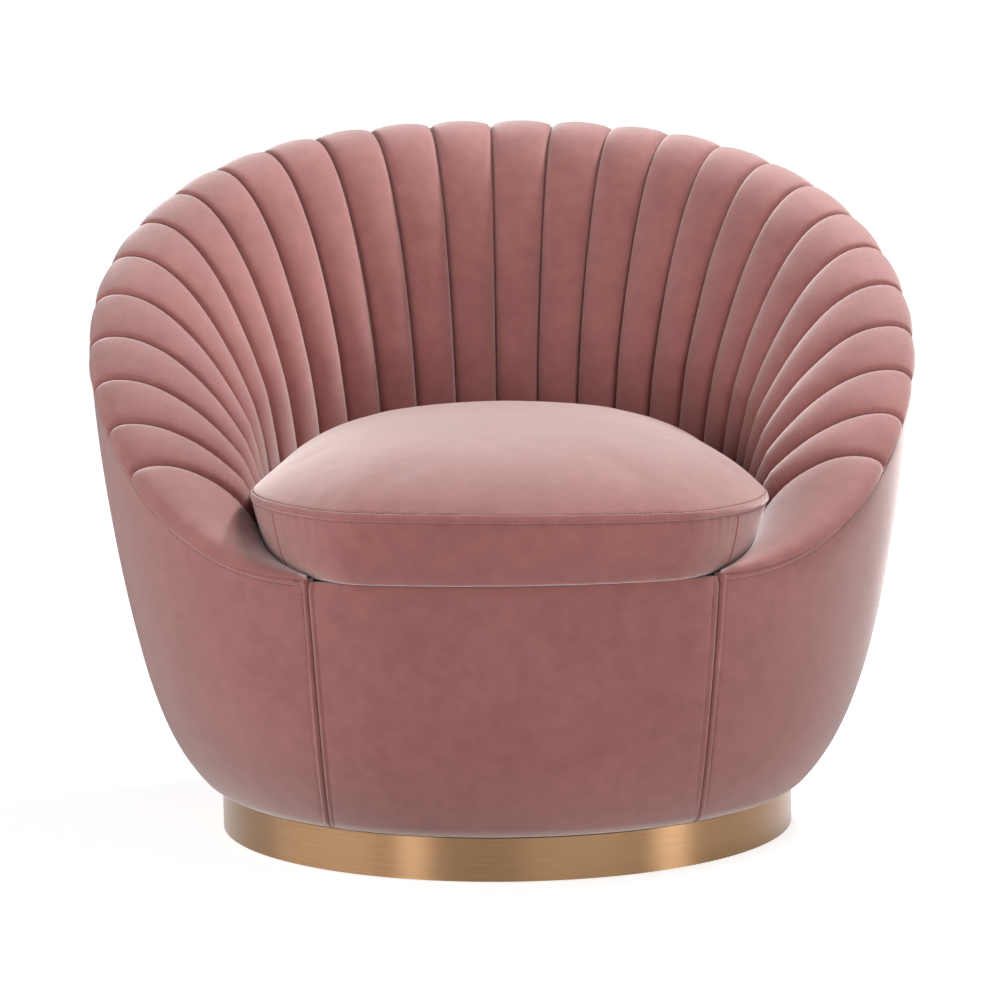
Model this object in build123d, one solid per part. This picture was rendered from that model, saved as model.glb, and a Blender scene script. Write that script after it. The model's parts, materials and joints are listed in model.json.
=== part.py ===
from build123d import *
import os
from math import cos, pi, radians, sin, sqrt

# A round channel-backed tub chair whose body swivels and glides on a low plinth.
# Millimetres. The front of the chair is -Y, +Z is up, and the origin is the swivel
# axis at the floor. Angles around the tub are measured from the middle of its back.

# Plinth
PLINTH_R = 285.0
PLINTH_TOP_Z = 42.0
BAND_WALL = 3.0
BAND_BOTTOM_Z = 1.0
BAND_GAP = 0.2
PAD_THICK = 2.0
PAD_INSET = 6.0

# Barrel: the outer surface of the upholstered body
BODY_BOTTOM_Z = 43.5
PLINTH_REVEAL = 8.0
BODY_BOTTOM_R = PLINTH_R + PLINTH_REVEAL
RIM_R = 412.0
FLARE_TOP_Z = 777.0
FLARE_SHARE = 0.741
FLARE_POWER = 2.9
FOOT_POWER = 17.4
COVER_THICK = 12.0
PROFILE_STEPS = 12

# Seams of the outer cover
SIDE_SEAM_BOTTOM_X = 173.0
COVER_SEAM_GAP = 0.4
RIM_SEAM_GAP = 1.6
OUTER_SEAM_BACK_Z = 642.0
OUTER_SEAM_END_DEG = 151.0
OUTER_SEAM_RISE_POWER = 3.0
OUTER_SEAM_FALL_POWER = 2.5

# Sewn channels of the inside cover, counted on each side of the back seam
HALF_CHANNELS = 14
CHANNEL_PITCH_DEG = 10.05
LAST_SEAM_DEG = 115.9
SEAT_INSIDE_R = 234.0
CHANNEL_FOOT_PITCH = 40.8
ARM_TIP_DEPTH = 11.4
ARM_END_BEND = 2.2
ARM_END_CROWN = 8.0
ARM_END_LENGTH = 170.0
CHANNEL_PAD = 13.0
CHANNEL_TAPER = 3.0
FOOT_CROWN = 6.2
RIM_CROWN = 5.2
OUTER_SEAM_CROWN = 2.4
CHANNEL_SEAM_GAP = 0.8
CHANNEL_FOOT_GAP = 2.5
RIM_SHARE = 0.14
RIM_RISE_BACK = 44.0
RIM_RISE_FRONT = 12.0
RIM_RISE_POWER = 5.0
RIM_RISE_TIP = 3.0
TIP_POWER = 8.0
BACK_LEAN = 0.2
BACK_FULLNESS = 0.7
ARM_FULLNESS = 0.55
RIM_FULLNESS = 0.8

# Seat
DECK_Z = 292.0
DECK_THICK = 18.0
SOFT_GAP = 0.5
CUSHION_SIDE_GAP = 8.5
CUSHION_HALF_WIDTH = SEAT_INSIDE_R - CUSHION_SIDE_GAP
CUSHION_FLARE = 16.0
CUSHION_OVERHANG = 13.0
CUSHION_SIDE_Y = -170.0
CUSHION_CORNER_X = 160.0
CUSHION_BOTTOM_BOW = 27.0
CUSHION_SEAM_BOW = 23.0
CUSHION_BOTTOM_BULGE = 18.0
CUSHION_SEAM_BULGE = 23.0
CUSHION_SEAM_HEIGHT = 62.0
CUSHION_HEIGHT = 125.0
CUSHION_CENTRE_Y = -80.0
CUSHION_CROWN_SPREAD = 3.9
CUSHION_CROWN_ROUND = 0.85
CUSHION_SIDE_LEVELS = ((0.0, 8.5), (0.22, 1.5), (0.6, 0.0), (1.0, 0.5))
CUSHION_CROWN_LEVELS = (1.0, 0.93, 0.85, 0.75, 0.63, 0.5, 0.35)

# Timber frame
JOIN_GAP = 0.2
RING_Z = 46.0
RING_THICK = 18.0
RING_WIDTH = 77.0
RING_INNER_R = BODY_BOTTOM_R - RING_WIDTH
RIB_THICK = 18.0
RIB_DEPTH = 45.0
RIB_DEGREES = (0.0, 34.0, 68.0, 100.0, 126.0)
RAIL_THICK = 18.0
RAIL_DEPTH = 40.0
RAIL_DROP = 25.0
RAIL_END_DEG = 3.0
SEAT_FRAME_Z = 250.0
SEAT_FRAME_THICK = 18.0
WINDOW_X = 284.0
WINDOW_Y = 340.0
STRAP_WIDTH = 50.0
STRAP_THICK = 1.5
STRAP_LAP = 24.0
STRAPS = 3

# Swivel bearing
RUNNING_GAP = 0.05
BEARING_R = 150.0
BALL_CIRCLE_R = 130.0
BALL_R = 5.0
BALLS = 24
RACE_THICK = 3.5
RACE_GAP = 7.0
CAGE_WIDTH = 16.0
CAGE_THICK = 2.4
KING_BOLT_R = 8.0
KING_BOLT_DEPTH = 24.0
KING_HEAD_R = 15.0
KING_HEAD_THICK = 6.0
KING_HEAD_GAP = 0.4

# Glide linkage
LINK_LENGTH = 120.0
LINK_WIDTH = 28.0
LINK_THICK = 5.0
PIVOT_SPREAD = 80.0
UPPER_PIVOT_Z = 202.0
PIN_R = 6.0
BUSH_WALL = 2.0
BUSH_FLANGE = 0.8
PIN_HEAD_R = 10.0
SIDE_PLATE_X = 134.0
PLATE_THICK = 5.0
LINK_SIDE_GAP = 3.0
SIDE_PLATE_HALF_LENGTH = 104.0
SIDE_PLATE_BOTTOM_Z = 66.0
CROSS_RAIL_Y = 52.0
CROSS_RAIL_WIDTH = 40.0
CROSS_RAIL_HEIGHT = 30.0
CROSS_RAIL_WALL = 3.0
CARRIAGE_HALF_LENGTH = 110.0
CARRIAGE_MARGIN = 16.0
CARRIAGE_WINDOW_FRAME = 32.0
CARRIAGE_FLANGE = 30.0
RIVET_HEAD = 1.6

# Fasteners
SCREW_R = 3.0
SCREW_HEAD_R = 6.0
SCREW_HEAD_THICK = 2.5
SCREW_DEPTH = 16.0
PLATE_SCREW_CIRCLE_R = 100.0
PLATE_SCREWS = 4
PLATE_SCREW_TURN_DEG = 45.0

# Heights and places that follow from the sizes above
CHANNEL_FOOT_Z = DECK_Z + CHANNEL_FOOT_GAP
LOWER_RACE_TOP_Z = PLINTH_TOP_Z + RACE_THICK
UPPER_RACE_Z = LOWER_RACE_TOP_Z + RACE_GAP
UPPER_RACE_TOP_Z = UPPER_RACE_Z + RACE_THICK
BALL_Z = LOWER_RACE_TOP_Z + RACE_GAP / 2
LOWER_PIVOT_Z = UPPER_PIVOT_Z - LINK_LENGTH
LINK_X = SIDE_PLATE_X + PLATE_THICK + LINK_SIDE_GAP
CARRIAGE_X = LINK_X + LINK_THICK + LINK_SIDE_GAP
CARRIAGE_BOTTOM_Z = LOWER_PIVOT_Z - CARRIAGE_MARGIN
RING_TOP_Z = RING_Z + RING_THICK
STRAP_Z = SEAT_FRAME_Z + SEAT_FRAME_THICK
DECK_BOTTOM_Z = DECK_Z - DECK_THICK
PUNCH = 1.0
SLAB_MARGIN = 20.0
SEAM_STEPS = 16

NODES = {}


def add(name, shapes):
    """Keep one named piece, or one named group of like pieces."""
    shapes = shapes if isinstance(shapes, list) else [shapes]
    solids = [solid for shape in shapes for solid in shape.solids()]
    NODES[name] = solids[0] if len(solids) == 1 else Compound(solids)


def disc(radius, low, high):
    return Pos(0, 0, low) * Cylinder(radius, high - low, align=(Align.CENTER, Align.CENTER, Align.MIN))


def block(low, high):
    size = [high[axis] - low[axis] for axis in range(3)]
    return Pos(*low) * Box(*size, align=(Align.MIN, Align.MIN, Align.MIN))


def rod_along_x(radius, low_x, high_x, y, z):
    rod = Cylinder(radius, high_x - low_x, align=(Align.CENTER, Align.CENTER, Align.MIN))
    return Pos(low_x, y, z) * Rot(0, 90, 0) * rod


def mirrored(shape):
    return mirror(shape, about=Plane.YZ)


# Shape of the tub

def barrel_radius(z):
    """Radius of the outer surface at height z."""
    drop = (FLARE_TOP_Z - z) / (FLARE_TOP_Z - BODY_BOTTOM_Z)
    curve = FLARE_SHARE * drop ** FLARE_POWER + (1 - FLARE_SHARE) * drop ** FOOT_POWER
    return RIM_R - (RIM_R - BODY_BOTTOM_R) * curve


def outer_seam_height(degrees):
    """Height of the seam where the inside cover meets the outer cover."""
    share = min(abs(degrees) / OUTER_SEAM_END_DEG, 1.0)
    fall = (1 - share ** OUTER_SEAM_RISE_POWER) ** OUTER_SEAM_FALL_POWER
    return CHANNEL_FOOT_Z + (OUTER_SEAM_BACK_Z - CHANNEL_FOOT_Z) * fall


def crest_height(degrees):
    """Height of the rolled rim over the outer seam."""
    share = min(abs(degrees) / OUTER_SEAM_END_DEG, 1.0)
    swell = (1 - share ** 2) ** RIM_RISE_POWER
    rise = RIM_RISE_FRONT + (RIM_RISE_BACK - RIM_RISE_FRONT) * swell
    rise -= (RIM_RISE_FRONT - RIM_RISE_TIP) * share ** TIP_POWER
    return outer_seam_height(degrees) + rise


def seam_degrees(count):
    """Angle of a channel seam, counted from the back, at the outer seam."""
    last = HALF_CHANNELS - 1
    ease = (CHANNEL_PITCH_DEG * last - LAST_SEAM_DEG) / last ** 2
    if count <= last:
        return CHANNEL_PITCH_DEG * count - ease * count * abs(count)
    return LAST_SEAM_DEG + (OUTER_SEAM_END_DEG - LAST_SEAM_DEG) * (count - last)


def arm_tip():
    """Where the outer seam ends, at the top of a front seam."""
    turn = radians(OUTER_SEAM_END_DEG)
    radius = barrel_radius(CHANNEL_FOOT_Z)
    return Vector(radius * sin(turn), radius * cos(turn), CHANNEL_FOOT_Z)


def seam_foot(count):
    """Foot of a channel seam at the seat: round at the back, straight along the arms."""
    last = HALF_CHANNELS - 1
    quarter = SEAT_INSIDE_R * pi / 2
    along = min(count, last) * CHANNEL_FOOT_PITCH
    turn = min(along, quarter) / SEAT_INSIDE_R
    x = SEAT_INSIDE_R * sin(turn)
    y = SEAT_INSIDE_R * cos(turn) - max(along - quarter, 0)
    share = max(count - last, 0)
    tip = arm_tip()
    x += (tip.X - x) * share ** ARM_END_BEND
    y += (tip.Y + ARM_TIP_DEPTH - y) * share
    return Vector(x, y, CHANNEL_FOOT_Z)


def conic(start, pull, end, weight, share):
    a = (1 - share) ** 2
    b = 2 * weight * share * (1 - share)
    c = share ** 2
    return (start * a + pull * b + end * c) / (a + b + c)


def seam_point(count, leg, share):
    """Point on a channel seam: the inner leg climbs to the rim, the outer leg drops over it."""
    degrees = seam_degrees(count)
    turn = radians(degrees)
    seam_z = outer_seam_height(degrees)
    radius = barrel_radius(seam_z)
    foot = seam_foot(count)
    outer = Vector(radius * sin(turn), radius * cos(turn), seam_z)
    crest_z = crest_height(degrees)
    crest = outer + (foot - outer) * RIM_SHARE
    crest = Vector(crest.X, crest.Y, crest_z)
    round_share = count / HALF_CHANNELS
    if leg == "inner":
        lean = BACK_LEAN * (1 - round_share ** 2)
        pull = foot + (crest - foot) * lean
        pull = Vector(pull.X, pull.Y, crest_z)
        fullness = BACK_FULLNESS + (ARM_FULLNESS - BACK_FULLNESS) * round_share
        return conic(foot, pull, crest, fullness, share)
    pull = Vector(outer.X, outer.Y, crest_z)
    return conic(crest, pull, outer, RIM_FULLNESS, share)


# Inside cover

INNER_STEPS = 9
OUTER_STEPS = 5
PATH_STEP = 0.02
PATH_SAMPLES = 100


def path_middle(first, leg, share):
    share = min(max(share, 0.0), 1.0)
    return (seam_point(first, leg, share) + seam_point(first + 1, leg, share)) / 2


def even_shares(first, leg, count):
    """Shares that place sections at equal steps along the middle of a channel."""
    places = [path_middle(first, leg, step / PATH_SAMPLES) for step in range(PATH_SAMPLES + 1)]
    lengths = [0.0]
    for before, after in zip(places, places[1:]):
        lengths.append(lengths[-1] + (after - before).length)
    shares = [0.0]
    for step in range(1, count - 1):
        wanted = lengths[-1] * step / (count - 1)
        index = max(place for place in range(PATH_SAMPLES) if lengths[place] <= wanted)
        rest = (wanted - lengths[index]) / (lengths[index + 1] - lengths[index])
        shares.append((index + rest) / PATH_SAMPLES)
    return shares + [1.0]


def channel_section(first, leg, share):
    """One cross-section of a channel: a crowned face on a flat, slightly narrower back."""
    start = seam_point(first, leg, share)
    end = seam_point(first + 1, leg, share)
    along = (end - start).normalized()
    start = start + along * (CHANNEL_SEAM_GAP / 2)
    end = end - along * (CHANNEL_SEAM_GAP / 2)
    path = path_middle(first, leg, share + PATH_STEP) - path_middle(first, leg, share - PATH_STEP)
    if (leg, share) in (("inner", 1.0), ("outer", 0.0)):
        path = path_middle(first, "outer", 1.0) - path_middle(first, "inner", 0.0)
        path = Vector(path.X, path.Y, 0)
    face = along.cross(path).normalized()
    if leg == "inner":
        crown = FOOT_CROWN + (RIM_CROWN - FOOT_CROWN) * share
    else:
        crown = RIM_CROWN + (OUTER_SEAM_CROWN - RIM_CROWN) * share
    top = (start + end) / 2 + face * crown
    back_start = start - face * CHANNEL_PAD + along * CHANNEL_TAPER
    back_end = end - face * CHANNEL_PAD - along * CHANNEL_TAPER
    edges = [
        Edge.make_three_point_arc(start, top, end),
        Edge.make_line(end, back_end),
        Edge.make_line(back_end, back_start),
        Edge.make_line(back_start, start),
    ]
    return Wire(edges)


def channel(first):
    """A padded channel: one loft up the inside to the rim and one from the rim to the outer seam."""
    legs = []
    for leg, count in (("inner", INNER_STEPS), ("outer", OUTER_STEPS)):
        shares = even_shares(first, leg, count)
        legs.append(Solid.make_loft([channel_section(first, leg, share) for share in shares]))
    return legs[0] + legs[1]


def arm_end():
    """The broad last channel, which runs down the front of the arm to the seat corner."""
    last = HALF_CHANNELS - 1
    first_share = CHANNEL_SEAM_GAP / ARM_END_LENGTH
    wires = []
    for share in (first_share, 0.25, 0.5, 0.75, 1.0):
        count = last + share
        lift = Vector(0, 0, ARM_END_CROWN * sin(pi * share))
        foot = seam_point(count, "inner", 0)
        inside = seam_point(count, "inner", 0.5) + lift
        crest = seam_point(count, "inner", 1) + lift
        over = seam_point(count, "outer", 0.5) + lift
        outer = seam_point(count, "outer", 1)
        inward = Vector(foot.X - outer.X, foot.Y - outer.Y, 0)
        ledge = min(COVER_THICK + SOFT_GAP, inward.length / 2)
        shelf = outer + inward.normalized() * ledge
        edges = [
            Edge.make_three_point_arc(foot, inside, crest),
            Edge.make_three_point_arc(crest, over, outer),
            Edge.make_line(outer, shelf),
            Edge.make_line(shelf, foot),
        ]
        wires.append(Wire(edges))
    return Solid.make_loft(wires)


def build_inside_cover():
    half = [channel(first) for first in range(HALF_CHANNELS - 1)]
    half.append(arm_end())
    add("channel_cover", half + [mirrored(solid) for solid in half])


# Outer cover

def barrel_face(inset_outer, inset_inner, low, high):
    """Radial slice of a shell that follows the barrel, drawn in the XZ plane."""
    heights = [low + (high - low) * (step / PROFILE_STEPS) ** 2 for step in range(PROFILE_STEPS + 1)]
    outer = [(barrel_radius(z) - inset_outer, 0, z) for z in heights]
    inner = [(barrel_radius(z) - inset_inner, 0, z) for z in heights]
    edges = [
        Edge.make_spline([Vector(*point) for point in outer]),
        Edge.make_line(outer[-1], inner[-1]),
        Edge.make_spline([Vector(*point) for point in reversed(inner)]),
        Edge.make_line(inner[0], outer[0]),
    ]
    return Face(Wire(edges))


def front_slab(grow):
    """The part of space between the two front seams."""
    slope = (arm_tip().X - SIDE_SEAM_BOTTOM_X) / (CHANNEL_FOOT_Z - BODY_BOTTOM_Z)
    low_x = SIDE_SEAM_BOTTOM_X - slope * BODY_BOTTOM_Z + grow
    high_x = SIDE_SEAM_BOTTOM_X + slope * (FLARE_TOP_Z - BODY_BOTTOM_Z) + grow
    corners = [(-low_x, 0, 0), (low_x, 0, 0), (high_x, 0, FLARE_TOP_Z), (-high_x, 0, FLARE_TOP_Z)]
    face = Face(Wire.make_polygon(corners))
    return extrude(face, RIM_R + SLAB_MARGIN, dir=(0, -1, 0))


def above_outer_seam():
    """Everything over the outer seam on the +X side, to trim the outer cover by."""
    inner_r = SEAT_INSIDE_R
    outer_r = RIM_R + SLAB_MARGIN
    wires = []
    for step in range(-1, SEAM_STEPS + 2):
        degrees = OUTER_SEAM_END_DEG * step / SEAM_STEPS
        turn = radians(degrees)
        low = outer_seam_height(degrees) - RIM_SEAM_GAP
        corners = [
            (inner_r * sin(turn), inner_r * cos(turn), low),
            (outer_r * sin(turn), outer_r * cos(turn), low),
            (outer_r * sin(turn), outer_r * cos(turn), FLARE_TOP_Z),
            (inner_r * sin(turn), inner_r * cos(turn), FLARE_TOP_Z),
        ]
        wires.append(Wire.make_polygon(corners))
    return Solid.make_loft(wires)


def build_outer_cover():
    tall = revolve(barrel_face(0, COVER_THICK, BODY_BOTTOM_Z, OUTER_SEAM_BACK_Z), Axis.Z, 180)
    low = revolve(barrel_face(0, COVER_THICK, BODY_BOTTOM_Z, DECK_Z), Axis.Z, 180)
    gap = COVER_SEAM_GAP / 2
    back_seam = block((-gap, 0, 0), (gap, RIM_R + SLAB_MARGIN, FLARE_TOP_Z))
    side = Rot(0, 0, -90) * tall - front_slab(gap) - above_outer_seam() - back_seam
    add("outer_cover_right", side)
    add("outer_cover_left", mirrored(side))
    add("front_panel", (Rot(0, 0, 180) * low) & front_slab(-gap))


# Seat

def cushion_outline(inset, share, z, scale=1.0):
    """The cushion's plan: round at the back, sides that flare to soft front corners, a bowed front.

    The share runs from 0 at the bottom to 1 at the top seam, where the corners are fullest.
    A scale below 1 draws the plan in towards the cushion's middle.
    """
    half = CUSHION_HALF_WIDTH - inset
    side = half + CUSHION_FLARE * share
    side_y = CUSHION_SIDE_Y + inset
    front = barrel_radius(DECK_Z) + CUSHION_OVERHANG - inset
    corner_x = CUSHION_CORNER_X - inset
    bow = CUSHION_BOTTOM_BOW + (CUSHION_SEAM_BOW - CUSHION_BOTTOM_BOW) * share
    corner_y = -front + bow * corner_x / CUSHION_CORNER_X
    bulge = CUSHION_BOTTOM_BULGE + (CUSHION_SEAM_BULGE - CUSHION_BOTTOM_BULGE) * share
    bend_x = (side + corner_x) / 2 + bulge
    bend_y = (side_y + corner_y) / 2 - bulge
    diagonal = half * sqrt(0.5)
    middle_y = CUSHION_CENTRE_Y

    def place(x, y):
        return Vector(x * scale, middle_y + (y - middle_y) * scale, z)

    edges = [
        Edge.make_three_point_arc(place(0, half), place(diagonal, diagonal), place(half, 0)),
        Edge.make_line(place(half, 0), place(side, side_y)),
        Edge.make_three_point_arc(place(side, side_y), place(bend_x, bend_y), place(corner_x, corner_y)),
        Edge.make_three_point_arc(place(corner_x, corner_y), place(0, -front), place(-corner_x, corner_y)),
        Edge.make_three_point_arc(place(-corner_x, corner_y), place(-bend_x, bend_y), place(-side, side_y)),
        Edge.make_line(place(-side, side_y), place(-half, 0)),
        Edge.make_three_point_arc(place(-half, 0), place(-diagonal, diagonal), place(0, half)),
    ]
    return Wire(edges)


def cushion():
    """Boxed sides under a crowned top, joined at the top seam."""
    base_z = DECK_Z + SOFT_GAP
    seam_z = base_z + CUSHION_SEAM_HEIGHT
    crown = CUSHION_HEIGHT - CUSHION_SEAM_HEIGHT
    sides = []
    for share, inset in CUSHION_SIDE_LEVELS:
        sides.append(cushion_outline(inset, share, base_z + CUSHION_SEAM_HEIGHT * share))
    tops = []
    seam_inset = CUSHION_SIDE_LEVELS[-1][1]
    for scale in CUSHION_CROWN_LEVELS:
        rise = (1 - scale ** CUSHION_CROWN_SPREAD) ** CUSHION_CROWN_ROUND
        tops.append(cushion_outline(seam_inset, 1.0, seam_z + crown * rise, scale))
    return Solid.make_loft(sides) + Solid.make_loft(tops)


def build_seat():
    add("seat_cushion", cushion())
    add("seat_deck", seat_plan(DECK_BOTTOM_Z, DECK_Z))
    window = block((-WINDOW_X / 2, -WINDOW_Y / 2, 0), (WINDOW_X / 2, WINDOW_Y / 2, DECK_Z))
    add("seat_frame", seat_plan(SEAT_FRAME_Z, SEAT_FRAME_Z + SEAT_FRAME_THICK) - window)
    long_half = WINDOW_Y / 2 + STRAP_LAP
    cross_half = WINDOW_X / 2 + STRAP_LAP
    long_straps = []
    cross_straps = []
    for step in range(STRAPS):
        x = WINDOW_X * ((step + 0.5) / STRAPS - 0.5)
        y = WINDOW_Y * ((step + 0.5) / STRAPS - 0.5)
        half = STRAP_WIDTH / 2
        top = STRAP_Z + STRAP_THICK
        long_straps.append(block((x - half, -long_half, STRAP_Z), (x + half, long_half, top)))
        cross_straps.append(block((-cross_half, y - half, top), (cross_half, y + half, top + STRAP_THICK)))
    add("webbing_long", long_straps)
    add("webbing_cross", cross_straps)


def rib_inner_radius(z):
    return barrel_radius(z) - COVER_THICK - JOIN_GAP - RIB_DEPTH


def seat_plan(low, high):
    """A board the size of the seat: round between the ribs, and out to the front panel."""
    round_board = disc(rib_inner_radius(low) - JOIN_GAP, low, high)
    front_board = disc(barrel_radius(low) - COVER_THICK - JOIN_GAP, low, high)
    reach = SIDE_SEAM_BOTTOM_X
    front_board &= block((-reach, -RIM_R, low), (reach, 0, high))
    return round_board + front_board


# Timber frame

def rib(degrees):
    top = outer_seam_height(degrees) - RAIL_DROP - RAIL_THICK - JOIN_GAP
    inset = COVER_THICK + JOIN_GAP
    face = barrel_face(inset, inset + RIB_DEPTH, RING_TOP_Z + JOIN_GAP, top)
    plate = extrude(face, RIB_THICK / 2, dir=(0, 1, 0), both=True)
    return Rot(0, 0, 90 - degrees) * plate


def rim_rail():
    inset = COVER_THICK + JOIN_GAP
    last = RIB_DEGREES[-1] + RAIL_END_DEG
    wires = []
    for step in range(-SEAM_STEPS, SEAM_STEPS + 1):
        degrees = last * step / SEAM_STEPS
        turn = radians(degrees)
        high = outer_seam_height(degrees) - RAIL_DROP
        low = high - RAIL_THICK
        outer = barrel_radius(low) - inset
        corners = []
        for radius, z in ((outer - RAIL_DEPTH, low), (outer, low), (outer, high), (outer - RAIL_DEPTH, high)):
            corners.append((radius * sin(turn), radius * cos(turn), z))
        wires.append(Wire.make_polygon(corners))
    return Solid.make_loft(wires)


def build_frame():
    ring_r = barrel_radius(RING_Z) - COVER_THICK - JOIN_GAP
    add("bottom_ring", disc(ring_r, RING_Z, RING_TOP_Z) - disc(RING_INNER_R, RING_Z - PUNCH, RING_TOP_Z + PUNCH))
    rail = rim_rail()
    ribs = [rib(RIB_DEGREES[0])]
    for degrees in RIB_DEGREES[1:]:
        ribs += [rib(degrees), rib(-degrees)]
    add("frame_ribs", [plate - rail for plate in ribs])
    add("rim_rail", rail)


# Plinth

def build_plinth():
    core_r = PLINTH_R - BAND_WALL - BAND_GAP
    bolt_hole = disc(KING_BOLT_R, PLINTH_TOP_Z - KING_BOLT_DEPTH, PLINTH_TOP_Z + PUNCH)
    add("floor_pad", disc(core_r - PAD_INSET, 0, PAD_THICK))
    add("plinth_core", disc(core_r, PAD_THICK, PLINTH_TOP_Z) - bolt_hole - screw_holes())
    band_bore = disc(PLINTH_R - BAND_WALL, BAND_BOTTOM_Z - PUNCH, PLINTH_TOP_Z + PUNCH)
    add("plinth_band", disc(PLINTH_R, BAND_BOTTOM_Z, PLINTH_TOP_Z) - band_bore)


def screw_places():
    return PolarLocations(PLATE_SCREW_CIRCLE_R, PLATE_SCREWS, PLATE_SCREW_TURN_DEG).locations


def screw_holes():
    holes = [place * disc(SCREW_R, PLINTH_TOP_Z - SCREW_DEPTH, UPPER_RACE_Z) for place in screw_places()]
    return Compound(holes)


# Swivel bearing

def build_bearing():
    race = Pos(0, 0, BALL_Z) * Torus(BALL_CIRCLE_R, BALL_R + RUNNING_GAP)
    shaft_hole = disc(KING_BOLT_R + RUNNING_GAP, 0, SEAT_FRAME_Z)
    lower = disc(BEARING_R, PLINTH_TOP_Z, LOWER_RACE_TOP_Z) - race - shaft_hole - screw_holes()
    upper = disc(BEARING_R, UPPER_RACE_Z, UPPER_RACE_TOP_Z) - race - shaft_hole
    add("swivel_lower_plate", lower)
    add("swivel_upper_plate", upper)
    cage_low = BALL_Z - CAGE_THICK / 2
    cage_high = BALL_Z + CAGE_THICK / 2
    cage = disc(BALL_CIRCLE_R + CAGE_WIDTH / 2, cage_low, cage_high)
    cage -= disc(BALL_CIRCLE_R - CAGE_WIDTH / 2, cage_low - PUNCH, cage_high + PUNCH)
    balls = []
    for place in PolarLocations(BALL_CIRCLE_R, BALLS).locations:
        balls.append(place * Pos(0, 0, BALL_Z) * Sphere(BALL_R))
        cage -= place * disc(BALL_R + RUNNING_GAP, cage_low - PUNCH, cage_high + PUNCH)
    add("ball_cage", cage)
    add("bearing_balls", balls)
    head_low = UPPER_RACE_TOP_Z + KING_HEAD_GAP
    bolt = disc(KING_BOLT_R, PLINTH_TOP_Z - KING_BOLT_DEPTH, head_low)
    bolt += disc(KING_HEAD_R, head_low, head_low + KING_HEAD_THICK)
    add("king_bolt", bolt)
    screws = []
    for place in screw_places():
        screw = disc(SCREW_R, PLINTH_TOP_Z - SCREW_DEPTH, LOWER_RACE_TOP_Z)
        screw += disc(SCREW_HEAD_R, LOWER_RACE_TOP_Z, LOWER_RACE_TOP_Z + SCREW_HEAD_THICK)
        screws.append(place * screw)
    add("plate_screws", screws)


# Glide linkage

def link_plate():
    """One link in its place at the front right, with its two bush holes."""
    half = LINK_WIDTH / 2
    body = rod_along_x(half, LINK_X, LINK_X + LINK_THICK, -PIVOT_SPREAD, UPPER_PIVOT_Z)
    body += rod_along_x(half, LINK_X, LINK_X + LINK_THICK, -PIVOT_SPREAD, LOWER_PIVOT_Z)
    low = (LINK_X, -PIVOT_SPREAD - half, LOWER_PIVOT_Z)
    high = (LINK_X + LINK_THICK, -PIVOT_SPREAD + half, UPPER_PIVOT_Z)
    body += block(low, high)
    for z in (UPPER_PIVOT_Z, LOWER_PIVOT_Z):
        body -= rod_along_x(bush_outer_r(), LINK_X - PUNCH, LINK_X + LINK_THICK + PUNCH, -PIVOT_SPREAD, z)
    return body


def bush_outer_r():
    return PIN_R + RUNNING_GAP + BUSH_WALL


def link_bushes():
    bushes = []
    low_x = LINK_X - BUSH_FLANGE
    high_x = LINK_X + LINK_THICK + BUSH_FLANGE
    for z in (UPPER_PIVOT_Z, LOWER_PIVOT_Z):
        bush = rod_along_x(bush_outer_r(), low_x, high_x, -PIVOT_SPREAD, z)
        bush -= rod_along_x(PIN_R + RUNNING_GAP, low_x - PUNCH, high_x + PUNCH, -PIVOT_SPREAD, z)
        bushes.append(bush)
    return bushes


def build_links():
    for y_side in ("front", "rear"):
        for x_side in ("right", "left"):
            plate = link_plate()
            bushes = Compound(link_bushes())
            if y_side == "rear":
                plate = mirror(plate, about=Plane.XZ)
                bushes = mirror(bushes, about=Plane.XZ)
            if x_side == "left":
                plate = mirrored(plate)
                bushes = mirrored(bushes)
            add(f"{y_side}_{x_side}_link", plate)
            add(f"{y_side}_{x_side}_bushes", bushes)


def side_plate():
    top = UPPER_PIVOT_Z + LINK_WIDTH / 2
    low = (SIDE_PLATE_X, -SIDE_PLATE_HALF_LENGTH, SIDE_PLATE_BOTTOM_Z)
    high = (SIDE_PLATE_X + PLATE_THICK, SIDE_PLATE_HALF_LENGTH, top)
    plate = block(low, high)
    for y in (-PIVOT_SPREAD, PIVOT_SPREAD):
        plate -= rod_along_x(PIN_R, SIDE_PLATE_X - PUNCH, SIDE_PLATE_X + PLATE_THICK + PUNCH, y, UPPER_PIVOT_Z)
    return plate


def upper_pin(y):
    head_x = LINK_X + LINK_THICK + BUSH_FLANGE + RUNNING_GAP
    pin = rod_along_x(PIN_R, SIDE_PLATE_X, head_x, y, UPPER_PIVOT_Z)
    return pin + rod_along_x(PIN_HEAD_R, head_x, head_x + RIVET_HEAD, y, UPPER_PIVOT_Z)


def cross_rail(y):
    half = CROSS_RAIL_WIDTH / 2
    wall = CROSS_RAIL_WALL
    low = UPPER_RACE_TOP_Z
    high = low + CROSS_RAIL_HEIGHT
    tube = block((-SIDE_PLATE_X, y - half, low), (SIDE_PLATE_X, y + half, high))
    bore_low = (-SIDE_PLATE_X - PUNCH, y - half + wall, low + wall)
    bore_high = (SIDE_PLATE_X + PUNCH, y + half - wall, high - wall)
    return tube - block(bore_low, bore_high)


def build_swivel_frame():
    right = side_plate()
    add("right_side_plate", right)
    add("left_side_plate", mirrored(right))
    add("cross_rails", [cross_rail(-CROSS_RAIL_Y), cross_rail(CROSS_RAIL_Y)])
    pins = [upper_pin(-PIVOT_SPREAD), upper_pin(PIVOT_SPREAD)]
    add("upper_pivot_pins", pins + [mirrored(pin) for pin in pins])


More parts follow.
